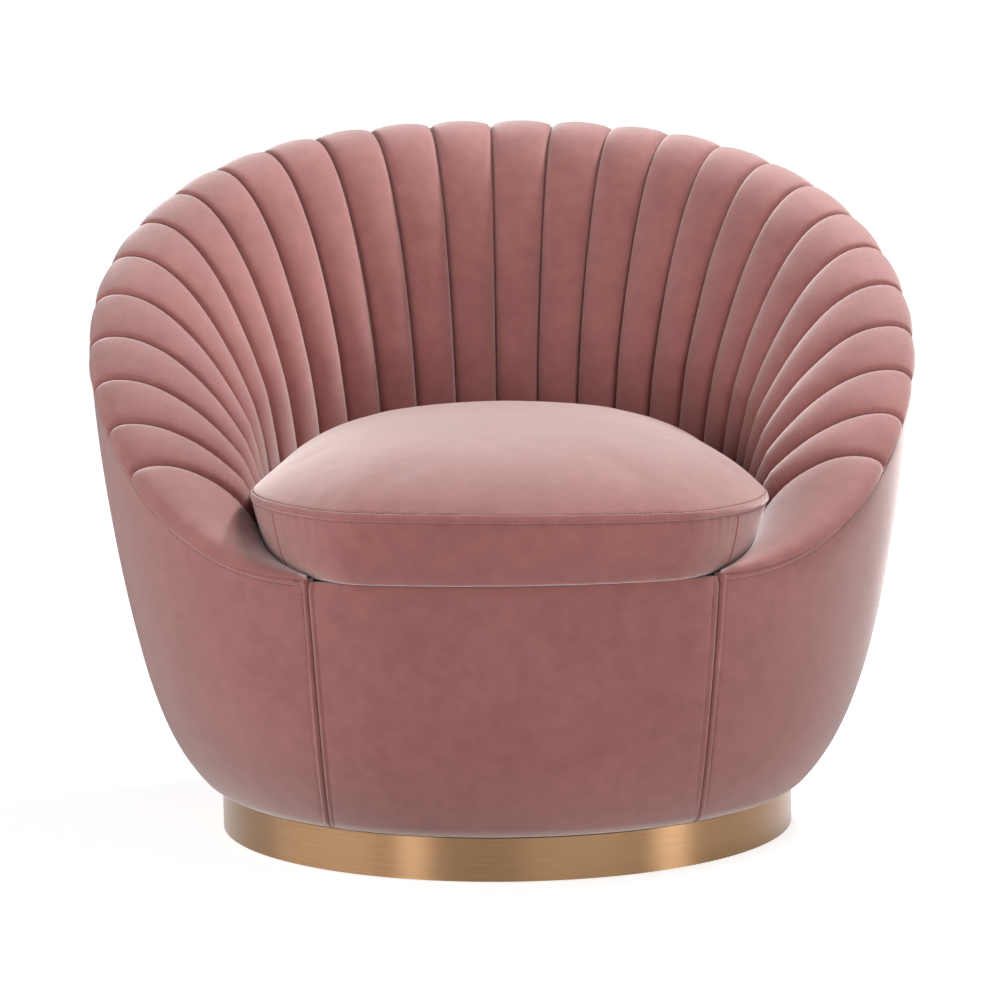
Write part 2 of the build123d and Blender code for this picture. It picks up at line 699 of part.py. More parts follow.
def carriage_plate():
    low = (CARRIAGE_X, -CARRIAGE_HALF_LENGTH, CARRIAGE_BOTTOM_Z)
    high = (CARRIAGE_X + PLATE_THICK, CARRIAGE_HALF_LENGTH, SEAT_FRAME_Z)
    plate = block(low, high)
    frame = CARRIAGE_WINDOW_FRAME
    window_low = (CARRIAGE_X - PUNCH, low[1] + frame, low[2] + frame)
    window_high = (CARRIAGE_X + PLATE_THICK + PUNCH, high[1] - frame, high[2] - frame)
    plate -= block(window_low, window_high)
    foot_low = (CARRIAGE_X + PLATE_THICK, low[1], SEAT_FRAME_Z - PLATE_THICK)
    foot_high = (CARRIAGE_X + PLATE_THICK + CARRIAGE_FLANGE, high[1], SEAT_FRAME_Z)
    plate += block(foot_low, foot_high)
    for y in (-PIVOT_SPREAD, PIVOT_SPREAD):
        plate -= rod_along_x(PIN_R, CARRIAGE_X - PUNCH, CARRIAGE_X + PLATE_THICK + PUNCH, y, LOWER_PIVOT_Z)
        plate -= Pos(bolt_x(), y, 0) * disc(SCREW_R, SEAT_FRAME_Z - PLATE_THICK - PUNCH, SEAT_FRAME_Z + PUNCH)
    return plate


def bolt_x():
    return CARRIAGE_X + PLATE_THICK + CARRIAGE_FLANGE / 2


def lower_pin(y):
    head_x = LINK_X - BUSH_FLANGE - RUNNING_GAP
    pin = rod_along_x(PIN_R, head_x, CARRIAGE_X + PLATE_THICK, y, LOWER_PIVOT_Z)
    return pin + rod_along_x(PIN_HEAD_R, head_x - RIVET_HEAD, head_x, y, LOWER_PIVOT_Z)


def seat_bolt(y):
    low = SEAT_FRAME_Z - PLATE_THICK
    bolt = disc(SCREW_R, low, SEAT_FRAME_Z + SCREW_DEPTH)
    bolt += disc(SCREW_HEAD_R, low - SCREW_HEAD_THICK, low)
    return Pos(bolt_x(), y, 0) * bolt


def build_carriage():
    right = carriage_plate()
    add("right_carriage_plate", right)
    add("left_carriage_plate", mirrored(right))
    pins = [lower_pin(-PIVOT_SPREAD), lower_pin(PIVOT_SPREAD)]
    add("lower_pivot_pins", pins + [mirrored(pin) for pin in pins])
    bolts = [seat_bolt(-PIVOT_SPREAD), seat_bolt(PIVOT_SPREAD)]
    bolts += [mirrored(bolt) for bolt in bolts]
    for bolt in bolts:
        NODES["seat_frame"] -= bolt
    add("seat_bolts", bolts)


build_plinth()
build_bearing()
build_links()
build_swivel_frame()
build_seat()
build_carriage()
build_frame()
build_outer_cover()
build_inside_cover()

os.makedirs("parts", exist_ok=True)
for node, shape in NODES.items():
    export_step(shape, f"parts/{node}.step")
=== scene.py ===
import json
from math import cos, pi, radians, sin, sqrt

import bmesh
import bpy
import numpy as np
from mathutils import Matrix, Vector, noise
from mathutils.bvhtree import BVHTree


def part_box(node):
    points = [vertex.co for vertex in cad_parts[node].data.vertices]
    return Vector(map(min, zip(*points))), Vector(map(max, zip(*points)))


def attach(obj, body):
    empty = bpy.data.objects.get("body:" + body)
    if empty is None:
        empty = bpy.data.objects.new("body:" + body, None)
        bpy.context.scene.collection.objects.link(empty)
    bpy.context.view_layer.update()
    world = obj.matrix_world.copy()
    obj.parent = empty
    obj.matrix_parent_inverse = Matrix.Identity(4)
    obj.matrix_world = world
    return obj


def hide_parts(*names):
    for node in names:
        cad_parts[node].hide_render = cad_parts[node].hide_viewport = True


# A velvet tub chair on a brass plinth. Metres; -Y is the front of the chair.
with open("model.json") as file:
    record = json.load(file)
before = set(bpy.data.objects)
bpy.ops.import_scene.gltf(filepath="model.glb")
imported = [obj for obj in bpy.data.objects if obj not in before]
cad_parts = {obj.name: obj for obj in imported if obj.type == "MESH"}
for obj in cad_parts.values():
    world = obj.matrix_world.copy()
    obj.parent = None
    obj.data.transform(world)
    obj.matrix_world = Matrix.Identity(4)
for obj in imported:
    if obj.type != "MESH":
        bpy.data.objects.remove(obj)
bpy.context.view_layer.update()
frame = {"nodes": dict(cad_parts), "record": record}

# Barrel body
BODY_BOTTOM_Z = 0.0435
BODY_BOTTOM_R = 0.293
RIM_R = 0.412
FLARE_TOP_Z = 0.777
FLARE_SHARE = 0.741
FLARE_POWER = 2.9
FOOT_POWER = 17.4
COVER_THICK = 0.010
TINY = 1e-9

# Slow unevenness of the stuffed covers: length, height, seed
CHANNEL_WANDER = (0.05, 0.0007, 1)
OUTER_WANDER = (0.16, 0.0016, 3)
FRONT_WANDER = (0.14, 0.0014, 5)

# Seams of the outer cover
SIDE_SEAM_BOTTOM_X = 0.173
OUTER_SEAM_BACK_Z = 0.642
OUTER_SEAM_END_DEG = 151.0
OUTER_SEAM_RISE_POWER = 3.0
OUTER_SEAM_FALL_POWER = 2.5

# Channels of the inside cover
HALF_CHANNELS = 14
CHANNEL_PITCH_DEG = 10.05
LAST_SEAM_DEG = 115.9
SEAT_INSIDE_R = 0.234
CHANNEL_FOOT_PITCH = 0.0408
ARM_TIP_DEPTH = 0.0114
ARM_END_BEND = 2.2
ARM_END_CROWN = 0.0065
ARM_END_EDGE = 0.012
ARM_END_LENGTH = 0.170
RIM_SHARE = 0.14
ARM_RIM_SHARE = 0.30
RIM_RISE_BACK = 0.044
RIM_RISE_FRONT = 0.012
RIM_RISE_TIP = 0.003
RIM_RISE_POWER = 5.0
TIP_POWER = 8.0
BACK_LEAN = 0.2
BACK_FULLNESS = 0.7
ARM_FULLNESS = 0.55
RIM_FULLNESS = 0.8
FOOT_CROWN = 0.0066
WALL_CROWN = 0.0115
RIM_CROWN = 0.0060
OUTER_SEAM_CROWN = 0.0028
ARM_RIM_CROWN_SHARE = 0.42
ARM_RIM_CROWN_FROM = 8.0
CROWN_LOW_SHARE = 0.16
CROWN_FULL_SHARE = 0.34
SEAM_CREASE = 0.0036
SEAM_CREASE_WIDTH = 0.0021
CHANNEL_PLACES = (0.0, 0.02, 0.05, 0.10, 0.17, 0.26, 0.37, 0.5, 0.63, 0.74, 0.83, 0.90, 0.95, 0.98)
ARM_END_PLACES = (0.0, 0.006, 0.015, 0.03, 0.05, 0.08, 0.12, 0.17, 0.23, 0.3, 0.38, 0.47, 0.56, 0.65, 0.74,
                  0.82, 0.89, 0.95)
CHANNEL_ROWS = 150
CHANNEL_SIDE_STEP = 0.02
LOBE_ROUND = 0.72
LINING_DEPTH = 0.012
FOOT_REST_GAP = 0.0004
CHANNEL_STITCH_DEPTH = 0.0009
CHANNEL_STITCH_START = 0.12

# Small gathers beside the channel seams, strongest low on the arms
GATHER_HEIGHT = 0.0002
ARM_GATHER_HEIGHT = 0.0009
ARM_GATHER_COUNT = 12.3
ARM_GATHER_SPREAD = 2.2
ARM_GATHER_TOP = 0.55
GATHER_LENGTH = 0.0085
GATHER_DRIFT_LENGTH = 0.031
GATHER_DRIFT = 1.5
GATHER_TURN = 2.4
GATHER_WIDTH = 0.008
GATHER_START = 0.002

# Seat
DECK_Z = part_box("seat_deck")[1][2]
CHANNEL_FOOT_Z = DECK_Z + 0.0025
CUSHION_BASE_Z = DECK_Z + 0.0006
DECK_UNDER_ARM = 0.004
DECK_FOOT_ROUND = 0.004
DECK_EDGE_ROUND = ((0.0, 0.005), (0.0015, 0.0015), (0.006, 0.0))
CUSHION_HALF_WIDTH = 0.2255
CUSHION_FLARE = 0.016
CUSHION_OVERHANG = 0.013
CUSHION_SIDE_Y = -0.170
CUSHION_CORNER_X = 0.160
CUSHION_BOTTOM_BOW = 0.027
CUSHION_SEAM_BOW = 0.023
CUSHION_BOTTOM_BULGE = 0.018
CUSHION_SEAM_BULGE = 0.023
CUSHION_SEAM_HEIGHT = 0.062
CUSHION_HEIGHT = 0.125
CUSHION_CENTRE_Y = -0.080
CUSHION_CROWN_SPREAD = 3.9
CUSHION_CROWN_ROUND = 0.85
CUSHION_SIDE_SHARES = (0.0, 0.05, 0.12, 0.25, 0.6, 1.0)
CUSHION_SIDE_INSETS = (0.0085, 0.0050, 0.0025, 0.0010, 0.0, 0.0005)
CUSHION_SLIM = 0.0005
CUSHION_CROWN_SLIM = 0.002
CUSHION_SEAM_SKEW = -0.014
CUSHION_POINTS = 240
CUSHION_FINE_POINTS = 720
CUSHION_CORNER_REACH = 24
CUSHION_CORNER_SOFTNESS = 5.0
CUSHION_SIDE_STATIONS = (0.0, 0.05, 0.12, 0.25, 0.4, 0.55, 0.7, 0.85, 1.0)
CUSHION_TOP_SCALES = (0.985, 0.96, 0.93, 0.89, 0.85, 0.8, 0.73, 0.65, 0.55, 0.43, 0.3, 0.15)
CUSHION_VOXEL = 0.005
CUSHION_MOVE_MAX = 0.022
CUSHION_PRESSURE = 4
CUSHION_FRAMES = 20
CUSHION_EASE_ROUNDS = 14
HELD_SEAM_HEIGHT = 0.005
HELD_SEAM_REACH = 0.006
HELD_BASE_HEIGHT = 0.002

# Puckers of the cushion's boxing under its top seam
PUCKER_HEIGHT = 0.0008
PUCKER_LENGTH = 0.0125
PUCKER_DROP = 0.011
PUCKER_PATCH = 0.06
PUCKER_DRIFT = 0.05
PUCKER_REACH = 0.03
PUCKER_START = 0.002

# Sewing of the cushion
WELT_HALF_WIDTH = 0.0036
WELT_HALF_THICK = 0.0011
CORNER_SEAM_HALF_WIDTH = 0.0018
CORNER_SEAM_HALF_THICK = 0.0010
CORNER_SEAM_LEAN = 0.010
CORNER_SEAM_FIRST = 0.04
CORNER_SEAM_LAST = 0.95
CORNER_SEAM_POINTS = 40
CORNER_SEAMS = ((1.0, "cushion_corner_seam_right", 0.325), (-1.0, "cushion_corner_seam_left", 0.300))
CUSHION_STITCH_RISES = (0.0056, -0.0052)
CUSHION_STITCH_PROUD = 0.0001

# Light: strongest from the upper right, with softer light from the left and above
WORLD_LIGHT = 0.10
LAMPS = (
    ("key", (1.20, 1.20, 2.25), 0.45, 64.0),
    ("top", (1.05, -0.55, 2.60), 0.7, 28.0),
    ("left_side", (-2.9, -0.7, 0.7), 3.0, 74.0),
    ("left_front", (-1.85, -2.45, 0.30), 0.7, 18.0),
    ("right_side", (2.65, -1.35, 0.30), 0.8, 24.0),
    ("front", (1.5, -3.3, 0.25), 2.8, 37.0),
)
LAMP_AIM_Z = 0.4

# Camera, from the photograph's perspective
CAMERA_DISTANCE = 3.5
CAMERA_HEIGHT = 0.759
CAMERA_SIDE = -0.0039
CAMERA_PITCH = radians(7.110)
CAMERA_YAW = radians(1.364)
CAMERA_ROLL = radians(0.65)
FOCAL_SHARE = 3.5406
SENSOR = 36.0


# Shape of the tub

def barrel_radius(z):
    drop = np.maximum((FLARE_TOP_Z - z) / (FLARE_TOP_Z - BODY_BOTTOM_Z), 0)
    curve = FLARE_SHARE * drop ** FLARE_POWER + (1 - FLARE_SHARE) * drop ** FOOT_POWER
    return RIM_R - (RIM_R - BODY_BOTTOM_R) * curve


def outer_seam_height(degrees):
    share = np.minimum(np.abs(degrees) / OUTER_SEAM_END_DEG, 1.0)
    fall = (1 - share ** OUTER_SEAM_RISE_POWER) ** OUTER_SEAM_FALL_POWER
    return CHANNEL_FOOT_Z + (OUTER_SEAM_BACK_Z - CHANNEL_FOOT_Z) * fall


def crest_height(degrees):
    share = np.minimum(np.abs(degrees) / OUTER_SEAM_END_DEG, 1.0)
    swell = (1 - share ** 2) ** RIM_RISE_POWER
    rise = RIM_RISE_FRONT + (RIM_RISE_BACK - RIM_RISE_FRONT) * swell
    return outer_seam_height(degrees) + rise - (RIM_RISE_FRONT - RIM_RISE_TIP) * share ** TIP_POWER


def seam_degrees(count):
    last = HALF_CHANNELS - 1
    ease = (CHANNEL_PITCH_DEG * last - LAST_SEAM_DEG) / last ** 2
    if count <= last:
        return CHANNEL_PITCH_DEG * count - ease * count ** 2
    return LAST_SEAM_DEG + (OUTER_SEAM_END_DEG - LAST_SEAM_DEG) * (count - last)


def arm_tip():
    turn = radians(OUTER_SEAM_END_DEG)
    radius = float(barrel_radius(CHANNEL_FOOT_Z))
    return radius * sin(turn), radius * cos(turn)


def seam_foot(count):
    last = HALF_CHANNELS - 1
    quarter = SEAT_INSIDE_R * pi / 2
    along = min(count, last) * CHANNEL_FOOT_PITCH
    turn = min(along, quarter) / SEAT_INSIDE_R
    x = SEAT_INSIDE_R * sin(turn)
    y = SEAT_INSIDE_R * cos(turn) - max(along - quarter, 0)
    share = max(count - last, 0)
    tip_x, tip_y = arm_tip()
    x += (tip_x - x) * share ** ARM_END_BEND
    y += (tip_y + ARM_TIP_DEPTH - y) * share
    return np.array([x, y, CHANNEL_FOOT_Z])


def run_places(points):
    """Distance of each point from the first, along the run."""
    return np.concatenate([[0], np.cumsum(np.linalg.norm(np.diff(points, axis=0), axis=1))])


def at_places(points, places, wanted):
    return np.stack([np.interp(wanted, places, points[:, axis]) for axis in range(points.shape[1])], axis=1)


def even_run(points, count):
    """An open run of points resampled at equal steps."""
    places = run_places(points)
    return at_places(points, places, np.linspace(0, places[-1], count))


def even_loop(points, count):
    """A closed loop resampled at equal steps."""
    closed = np.vstack([points, points[:1]])
    places = run_places(closed)
    return at_places(closed, places, np.linspace(0, places[-1], count, endpoint=False))


def conic(start, pull, end, weight, share):
    share = share[:, None]
    a = (1 - share) ** 2
    b = 2 * weight * share * (1 - share)
    c = share ** 2
    return (a * start + b * pull + c * end) / (a + b + c)


def seam_curve(count, rows):
    """Evenly spaced points from the seat, up the inside and over the rim to the outer seam."""
    side = -1.0 if count < 0 else 1.0
    count = min(abs(count), HALF_CHANNELS)
    degrees = seam_degrees(count)
    turn = radians(degrees)
    seam_z = float(outer_seam_height(degrees))
    radius = float(barrel_radius(seam_z))
    foot = seam_foot(count)
    outer = np.array([radius * sin(turn), radius * cos(turn), seam_z])
    crest_z = float(crest_height(degrees))
    arm = min(max((count - HALF_CHANNELS + 2) / 2, 0.0), 1.0)
    crest = outer + (foot - outer) * (RIM_SHARE + (ARM_RIM_SHARE - RIM_SHARE) * arm ** 2 * (3 - 2 * arm))
    crest[2] = crest_z
    share = count / HALF_CHANNELS
    pull = foot + (crest - foot) * BACK_LEAN * (1 - share ** 2)
    pull[2] = crest_z
    fullness = BACK_FULLNESS + (ARM_FULLNESS - BACK_FULLNESS) * share
    steps = np.linspace(0, 1, 80)
    inner = conic(foot, pull, crest, fullness, steps)
    over = conic(crest, np.array([outer[0], outer[1], crest_z]), outer, RIM_FULLNESS, steps[1:])
    points = even_run(np.vstack([inner, over]), rows)
    points[:, 0] *= side
    return points


# Mesh helpers

def new_object(name, vertices, faces, material, smooth=True):
    mesh = bpy.data.meshes.new(name)
    mesh.from_pydata([tuple(map(float, vertex)) for vertex in vertices], [], faces)
    mesh.update()
    obj = bpy.data.objects.new(name, mesh)
    bpy.context.scene.collection.objects.link(obj)
    mesh.materials.append(material)
    for polygon in mesh.polygons:
        polygon.use_smooth = smooth
    return obj


def grid_faces(rows, columns, start=0, closed=False, flip=False):
    faces = []
    last = columns if closed else columns - 1
    for row in range(rows - 1):
        for column in range(last):
            following = (column + 1) % columns
            a = start + row * columns + column
            b = start + row * columns + following
            c = start + (row + 1) * columns + following
            d = start + (row + 1) * columns + column
            faces.append((a, d, c, b) if flip else (a, b, c, d))
    return faces


def shell_faces(rows, columns, back_start):
    """A front grid, a back grid behind it, and the four strips that close them."""
    faces = grid_faces(rows, columns)
    faces += grid_faces(rows, columns, back_start, flip=True)
    rim = [(0, column) for column in range(columns)]
    rim += [(row, columns - 1) for row in range(1, rows)]
    rim += [(rows - 1, column) for column in range(columns - 2, -1, -1)]
    rim += [(row, 0) for row in range(rows - 2, 0, -1)]
    loop = [row * columns + column for row, column in rim]
    for index, a in enumerate(loop):
        b = loop[(index + 1) % len(loop)]
        faces.append((b, a, a + back_start, b + back_start))
    return faces


def recalculate(obj):
    """Turn every face of a closed mesh outwards."""
    tidy = bmesh.new()
    tidy.from_mesh(obj.data)
    bmesh.ops.recalc_face_normals(tidy, faces=tidy.faces)
    tidy.to_mesh(obj.data)
    tidy.free()


def shell_object(name, front, back, material):
    rows, columns = front.shape[:2]
    vertices = np.vstack([front.reshape(-1, 3), back.reshape(-1, 3)])
    obj = new_object(name, vertices, shell_faces(rows, columns, rows * columns), material)
    recalculate(obj)
    return obj


def subdivide(obj, levels=1):
    modifier = obj.modifiers.new("smooth", "SUBSURF")
    modifier.levels = levels
    modifier.render_levels = levels


def wander(points, size, amount, seed):
    """Slow, seeded unevenness at each point, in metres."""
    flat = points.reshape(-1, 3)
    shift = Vector((seed * 7.31, seed * 3.17, seed * 5.71))
    values = [noise.noise(Vector(point) / size + shift) for point in flat]
    return amount * np.array(values).reshape(points.shape[:-1])


# Materials

class Shader:
    """Short calls for building one node material."""

    def __init__(self, name):
        self.material = bpy.data.materials.new(name)
        self.material.use_nodes = True
        self.nodes = self.material.node_tree.nodes
        self.links = self.material.node_tree.links
        self.nodes.clear()
        self.output = self.nodes.new("ShaderNodeOutputMaterial")
        self.surface = self.nodes.new("ShaderNodeBsdfPrincipled")
        self.links.new(self.surface.outputs[0], self.output.inputs["Surface"])
        self.coordinates = self.nodes.new("ShaderNodeTexCoord").outputs["Object"]

    def set(self, **values):
        for key, value in values.items():
            self.surface.inputs[key.replace("_", " ")].default_value = value

    def stretched(self, scale):
        node = self.nodes.new("ShaderNodeMapping")
        node.inputs["Scale"].default_value = scale
        self.links.new(self.coordinates, node.inputs["Vector"])
        return node.outputs[0]

    def noise(self, scale, detail=4.0, roughness=0.55, vector=None):
        node = self.nodes.new("ShaderNodeTexNoise")
        node.inputs["Scale"].default_value = scale
        node.inputs["Detail"].default_value = detail
        node.inputs["Roughness"].default_value = roughness
        self.links.new(vector or self.coordinates, node.inputs["Vector"])
        return node.outputs["Fac"]

    def ramp(self, value, stops):
        node = self.nodes.new("ShaderNodeValToRGB")
        points = node.color_ramp.elements
        while len(points) < len(stops):
            points.new(0.5)
        for point, (place, colour) in zip(points, stops):
            point.position = place
            point.color = (*colour, 1.0)
        self.links.new(value, node.inputs[0])
        return node.outputs[0]

    def spread(self, value, low, high, first=0.0, last=1.0):
        node = self.nodes.new("ShaderNodeMapRange")
        node.inputs["From Min"].default_value = first
        node.inputs["From Max"].default_value = last
        node.inputs["To Min"].default_value = low
        node.inputs["To Max"].default_value = high
        self.links.new(value, node.inputs["Value"])
        return node.outputs[0]

    def add(self, first, second, share):
        node = self.nodes.new("ShaderNodeMath")
        node.operation = "MULTIPLY_ADD"
        self.links.new(second, node.inputs[0])
        node.inputs[1].default_value = share
        self.links.new(first, node.inputs[2])
        return node.outputs[0]

    def bump(self, height, distance, strength=1.0):
        node = self.nodes.new("ShaderNodeBump")
        node.inputs["Strength"].default_value = strength
        node.inputs["Distance"].default_value = distance
        self.links.new(height, node.inputs["Height"])
        self.links.new(node.outputs[0], self.surface.inputs["Normal"])

    def feed(self, socket, value):
        self.links.new(value, self.surface.inputs[socket])


def velvet(name, dark, light):
    shader = Shader(name)
    patches = shader.noise(9.0, detail=3.0)
    pile = shader.noise(1500.0, detail=2.0, vector=shader.stretched((1.0, 1.0, 0.45)))
    tone = shader.add(shader.noise(60.0, detail=5.0), patches, 1.0)
    tone = shader.add(tone, pile, 0.5)
    colour = shader.ramp(shader.spread(tone, 0.0, 1.0, 0.85, 1.65), [(0.0, dark), (1.0, light)])
    shader.feed("Base Color", colour)
    shader.feed("Roughness", shader.spread(patches, 0.72, 0.9))
    shader.set(Specular_IOR_Level=0.2, Sheen_Weight=0.85, Sheen_Roughness=0.48)
    shader.surface.inputs["Sheen Tint"].default_value = (1.0, 0.95, 0.93, 1.0)
    shader.bump(shader.add(pile, shader.noise(220.0), 0.6), 0.0006, 0.35)
    return shader.material


def thread(name, colour):
    shader = Shader(name)
    twist = shader.noise(900.0, detail=2.0)
    shader.feed("Base Color", shader.ramp(twist, [(0.3, tuple(0.7 * c for c in colour)), (0.7, colour)]))
    shader.set(Roughness=0.6, Sheen_Weight=0.2)
    shader.bump(twist, 0.0003, 0.5)
    return shader.material


def brushed_metal(name, dark, light, roughness, stretch=(1.0, 1.0, 60.0)):
    """Metal brushed round its axis, so that its highlights stretch upright."""
    shader = Shader(name)
    tangent = shader.nodes.new("ShaderNodeTangent")
    tangent.direction_type = "RADIAL"
    tangent.axis = "Z"
    shader.links.new(tangent.outputs[0], shader.surface.inputs["Tangent"])
    grain = shader.noise(18.0, detail=8.0, roughness=0.7, vector=shader.stretched(stretch))
    shader.feed("Base Color", shader.ramp(grain, [(0.25, dark), (0.75, light)]))
    shader.feed("Roughness", shader.spread(grain, roughness - 0.06, roughness + 0.08))
    shader.set(Metallic=1.0, Anisotropic=0.85, Anisotropic_Rotation=0.25)
    shader.bump(grain, 0.00008, 0.25)
    return shader.material


def board(name, dark, light, stretch, scale):
    shader = Shader(name)
    grain = shader.noise(scale, detail=8.0, roughness=0.65, vector=shader.stretched(stretch))
    shader.feed("Base Color", shader.ramp(grain, [(0.3, dark), (0.7, light)]))
    shader.feed("Roughness", shader.spread(grain, 0.55, 0.8))
    shader.bump(grain, 0.0004, 0.3)
    return shader.material


def coated(name, dark, light, roughness, scale, metallic=0.0):
    shader = Shader(name)
    speckle = shader.noise(scale, detail=3.0)
    shader.feed("Base Color", shader.ramp(speckle, [(0.35, dark), (0.65, light)]))
    shader.feed("Roughness", shader.spread(speckle, roughness - 0.08, roughness + 0.08))
    shader.set(Metallic=metallic)
    shader.bump(speckle, 0.0002, 0.25)
    return shader.material


ROSE_DARK = (0.262, 0.090, 0.083)
ROSE_LIGHT = (0.372, 0.140, 0.129)
VELVET = velvet("velvet", ROSE_DARK, ROSE_LIGHT)
THREAD = thread("rose_thread", (0.23, 0.09, 0.085))
BRASS = brushed_metal("brushed_brass", (0.215, 0.122, 0.063), (0.300, 0.178, 0.094), 0.34)
NODE_MATERIALS = {
    "brushed_brass": BRASS,
    "felt": coated("felt", (0.012, 0.012, 0.012), (0.035, 0.033, 0.031), 0.9, 500.0),
    "fibreboard": board("fibreboard", (0.30, 0.20, 0.12), (0.42, 0.30, 0.19), (1.0, 1.0, 1.0), 160.0),
    "plywood": board("plywood", (0.45, 0.31, 0.18), (0.62, 0.46, 0.29), (1.0, 1.0, 9.0), 14.0),
    "webbing": coated("webbing", (0.010, 0.010, 0.011), (0.05, 0.05, 0.052), 0.8, 380.0),
    "bearing_steel": brushed_metal("bright_steel", (0.45, 0.45, 0.46), (0.62, 0.62, 0.63), 0.25),
    "plate_steel": brushed_metal("zinc_plate", (0.36, 0.37, 0.38), (0.52, 0.53, 0.54), 0.38, (6.0, 6.0, 6.0)),
    "black_steel": coated("black_powder_coat", (0.010, 0.010, 0.010), (0.022, 0.022, 0.022), 0.5, 700.0),
    "nylon": coated("nylon", (0.62, 0.60, 0.54), (0.72, 0.70, 0.65), 0.45, 90.0),
}


def dress_cad_nodes():
    slots = {entry["node"]: entry["material_slot"] for entry in frame["record"]["subparts"]}
    for node, obj in frame["nodes"].items():
        material = NODE_MATERIALS.get(slots.get(node))
        if material:
            obj.data.materials.clear()
            obj.data.materials.append(material)


# Inside cover

def channel_counts():
    """Counts of the columns, close together beside the seams, from one arm end round to the other."""
    right = []
    for channel in range(HALF_CHANNELS):
        places = ARM_END_PLACES if channel == HALF_CHANNELS - 1 else CHANNEL_PLACES
        right += [channel + place for place in places]
    right.append(HALF_CHANNELS)
    return [-count for count in reversed(right[1:])] + right


def lobe(share):
    """Height of a stuffed channel across its width: full in the middle, steep at the seams."""
    return (1 - (2 * share - 1) ** 2) ** LOBE_ROUND


def gathers(count, rows, along, channel, from_seam):
    """Small puckers that the stitches draw beside a seam, on one column of the cover."""
    pull = max(0.0, 1 - abs(abs(count) - ARM_GATHER_COUNT) / ARM_GATHER_SPREAD)
    size = GATHER_HEIGHT + ARM_GATHER_HEIGHT * pull * np.clip(1 - rows / ARM_GATHER_TOP, 0, 1)
    drift = GATHER_TURN * channel + GATHER_DRIFT * np.sin(along / GATHER_DRIFT_LENGTH)
    ripple = size * np.sin(2 * pi * along / GATHER_LENGTH + drift)
    return ripple * np.exp(-from_seam / GATHER_WIDTH) * (1 - np.exp(-from_seam / GATHER_START))


def column_height(count, rows, rim_row, curve):
    """Height of the stuffing over the seam surface, up one column of the cover."""
    channel = min(int(np.floor(abs(count))), HALF_CHANNELS - 1)
    share = abs(count) - channel
    ease = min(abs(count) / ARM_RIM_CROWN_FROM, 1.0)
    rim = RIM_CROWN * (1 - (1 - ARM_RIM_CROWN_SHARE) * ease ** 2 * (3 - 2 * ease))
    crown = np.interp(rows, (0.0, CROWN_LOW_SHARE, CROWN_FULL_SHARE, rim_row, 1.0),
                      (FOOT_CROWN, FOOT_CROWN, WALL_CROWN, rim, min(rim, OUTER_SEAM_CROWN)))
    if channel == HALF_CHANNELS - 1:
        from_seam = np.full(CHANNEL_ROWS, share * ARM_END_LENGTH)
        swell = ARM_END_CROWN * (1 - np.exp(-from_seam / ARM_END_EDGE)) * (1 - share ** 3)
        swell = swell * np.minimum(crown / rim, 1.0)
    else:
        width = np.linalg.norm(curve(channel + 1) - curve(channel), axis=1)
        from_seam = np.minimum(share * width, (1 - share) * width)
        swell = crown * lobe(share)
    crease = SEAM_CREASE * np.exp(-(from_seam / SEAM_CREASE_WIDTH) ** 2)
    along = rows * run_places(curve(channel))[-1]
    return swell - crease + gathers(count, rows, along, channel, from_seam)


def build_inside_cover():
    counts = channel_counts()
    rows = np.linspace(0, 1, CHANNEL_ROWS)
    curves = {}

    def curve(count):
        if count not in curves:
            curves[count] = seam_curve(count, CHANNEL_ROWS)
        return curves[count]

    base = np.stack([curve(count) for count in counts], axis=1)
    before = np.stack([curve(max(count - CHANNEL_SIDE_STEP, -HALF_CHANNELS)) for count in counts], axis=1)
    after = np.stack([curve(min(count + CHANNEL_SIDE_STEP, HALF_CHANNELS)) for count in counts], axis=1)
    normals = np.cross(after - before, np.gradient(base, axis=0))
    normals /= np.maximum(np.linalg.norm(normals, axis=2, keepdims=True), TINY)
    rim_row = np.argmax(base[:, len(counts) // 2, 2]) / (CHANNEL_ROWS - 1)
    height = np.stack([column_height(count, rows, rim_row, curve) for count in counts], axis=1)
    front = base + normals * (height + wander(base, *CHANNEL_WANDER))[..., None]
    back = base - normals * LINING_DEPTH
    front[0, :, 2] = DECK_Z + FOOT_REST_GAP
    back[0, :, 2] = DECK_Z + FOOT_REST_GAP
    obj = shell_object("inside_cover", front, back, VELVET)
    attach(obj, "seat_body")
    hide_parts("channel_cover")
    runs = []
    first = int(CHANNEL_STITCH_START * CHANNEL_ROWS)
    for count in range(1 - HALF_CHANNELS, HALF_CHANNELS):
        column = counts.index(count)
        path = base[first:, column] - normals[first:, column] * CHANNEL_STITCH_DEPTH
        runs.append((path, normals[first:, column]))
    stitches("channel_stitches", runs, "seat_body")


# Stitching

STITCH_LENGTH = 0.0030
STITCH_PITCH = 0.0048
STITCH_RADIUS = 0.0005
STITCH_LOOK_AHEAD = 0.001
STITCH_RINGS = ((-0.5, 0.25), (-0.3, 1.0), (0.3, 1.0), (0.5, 0.25))


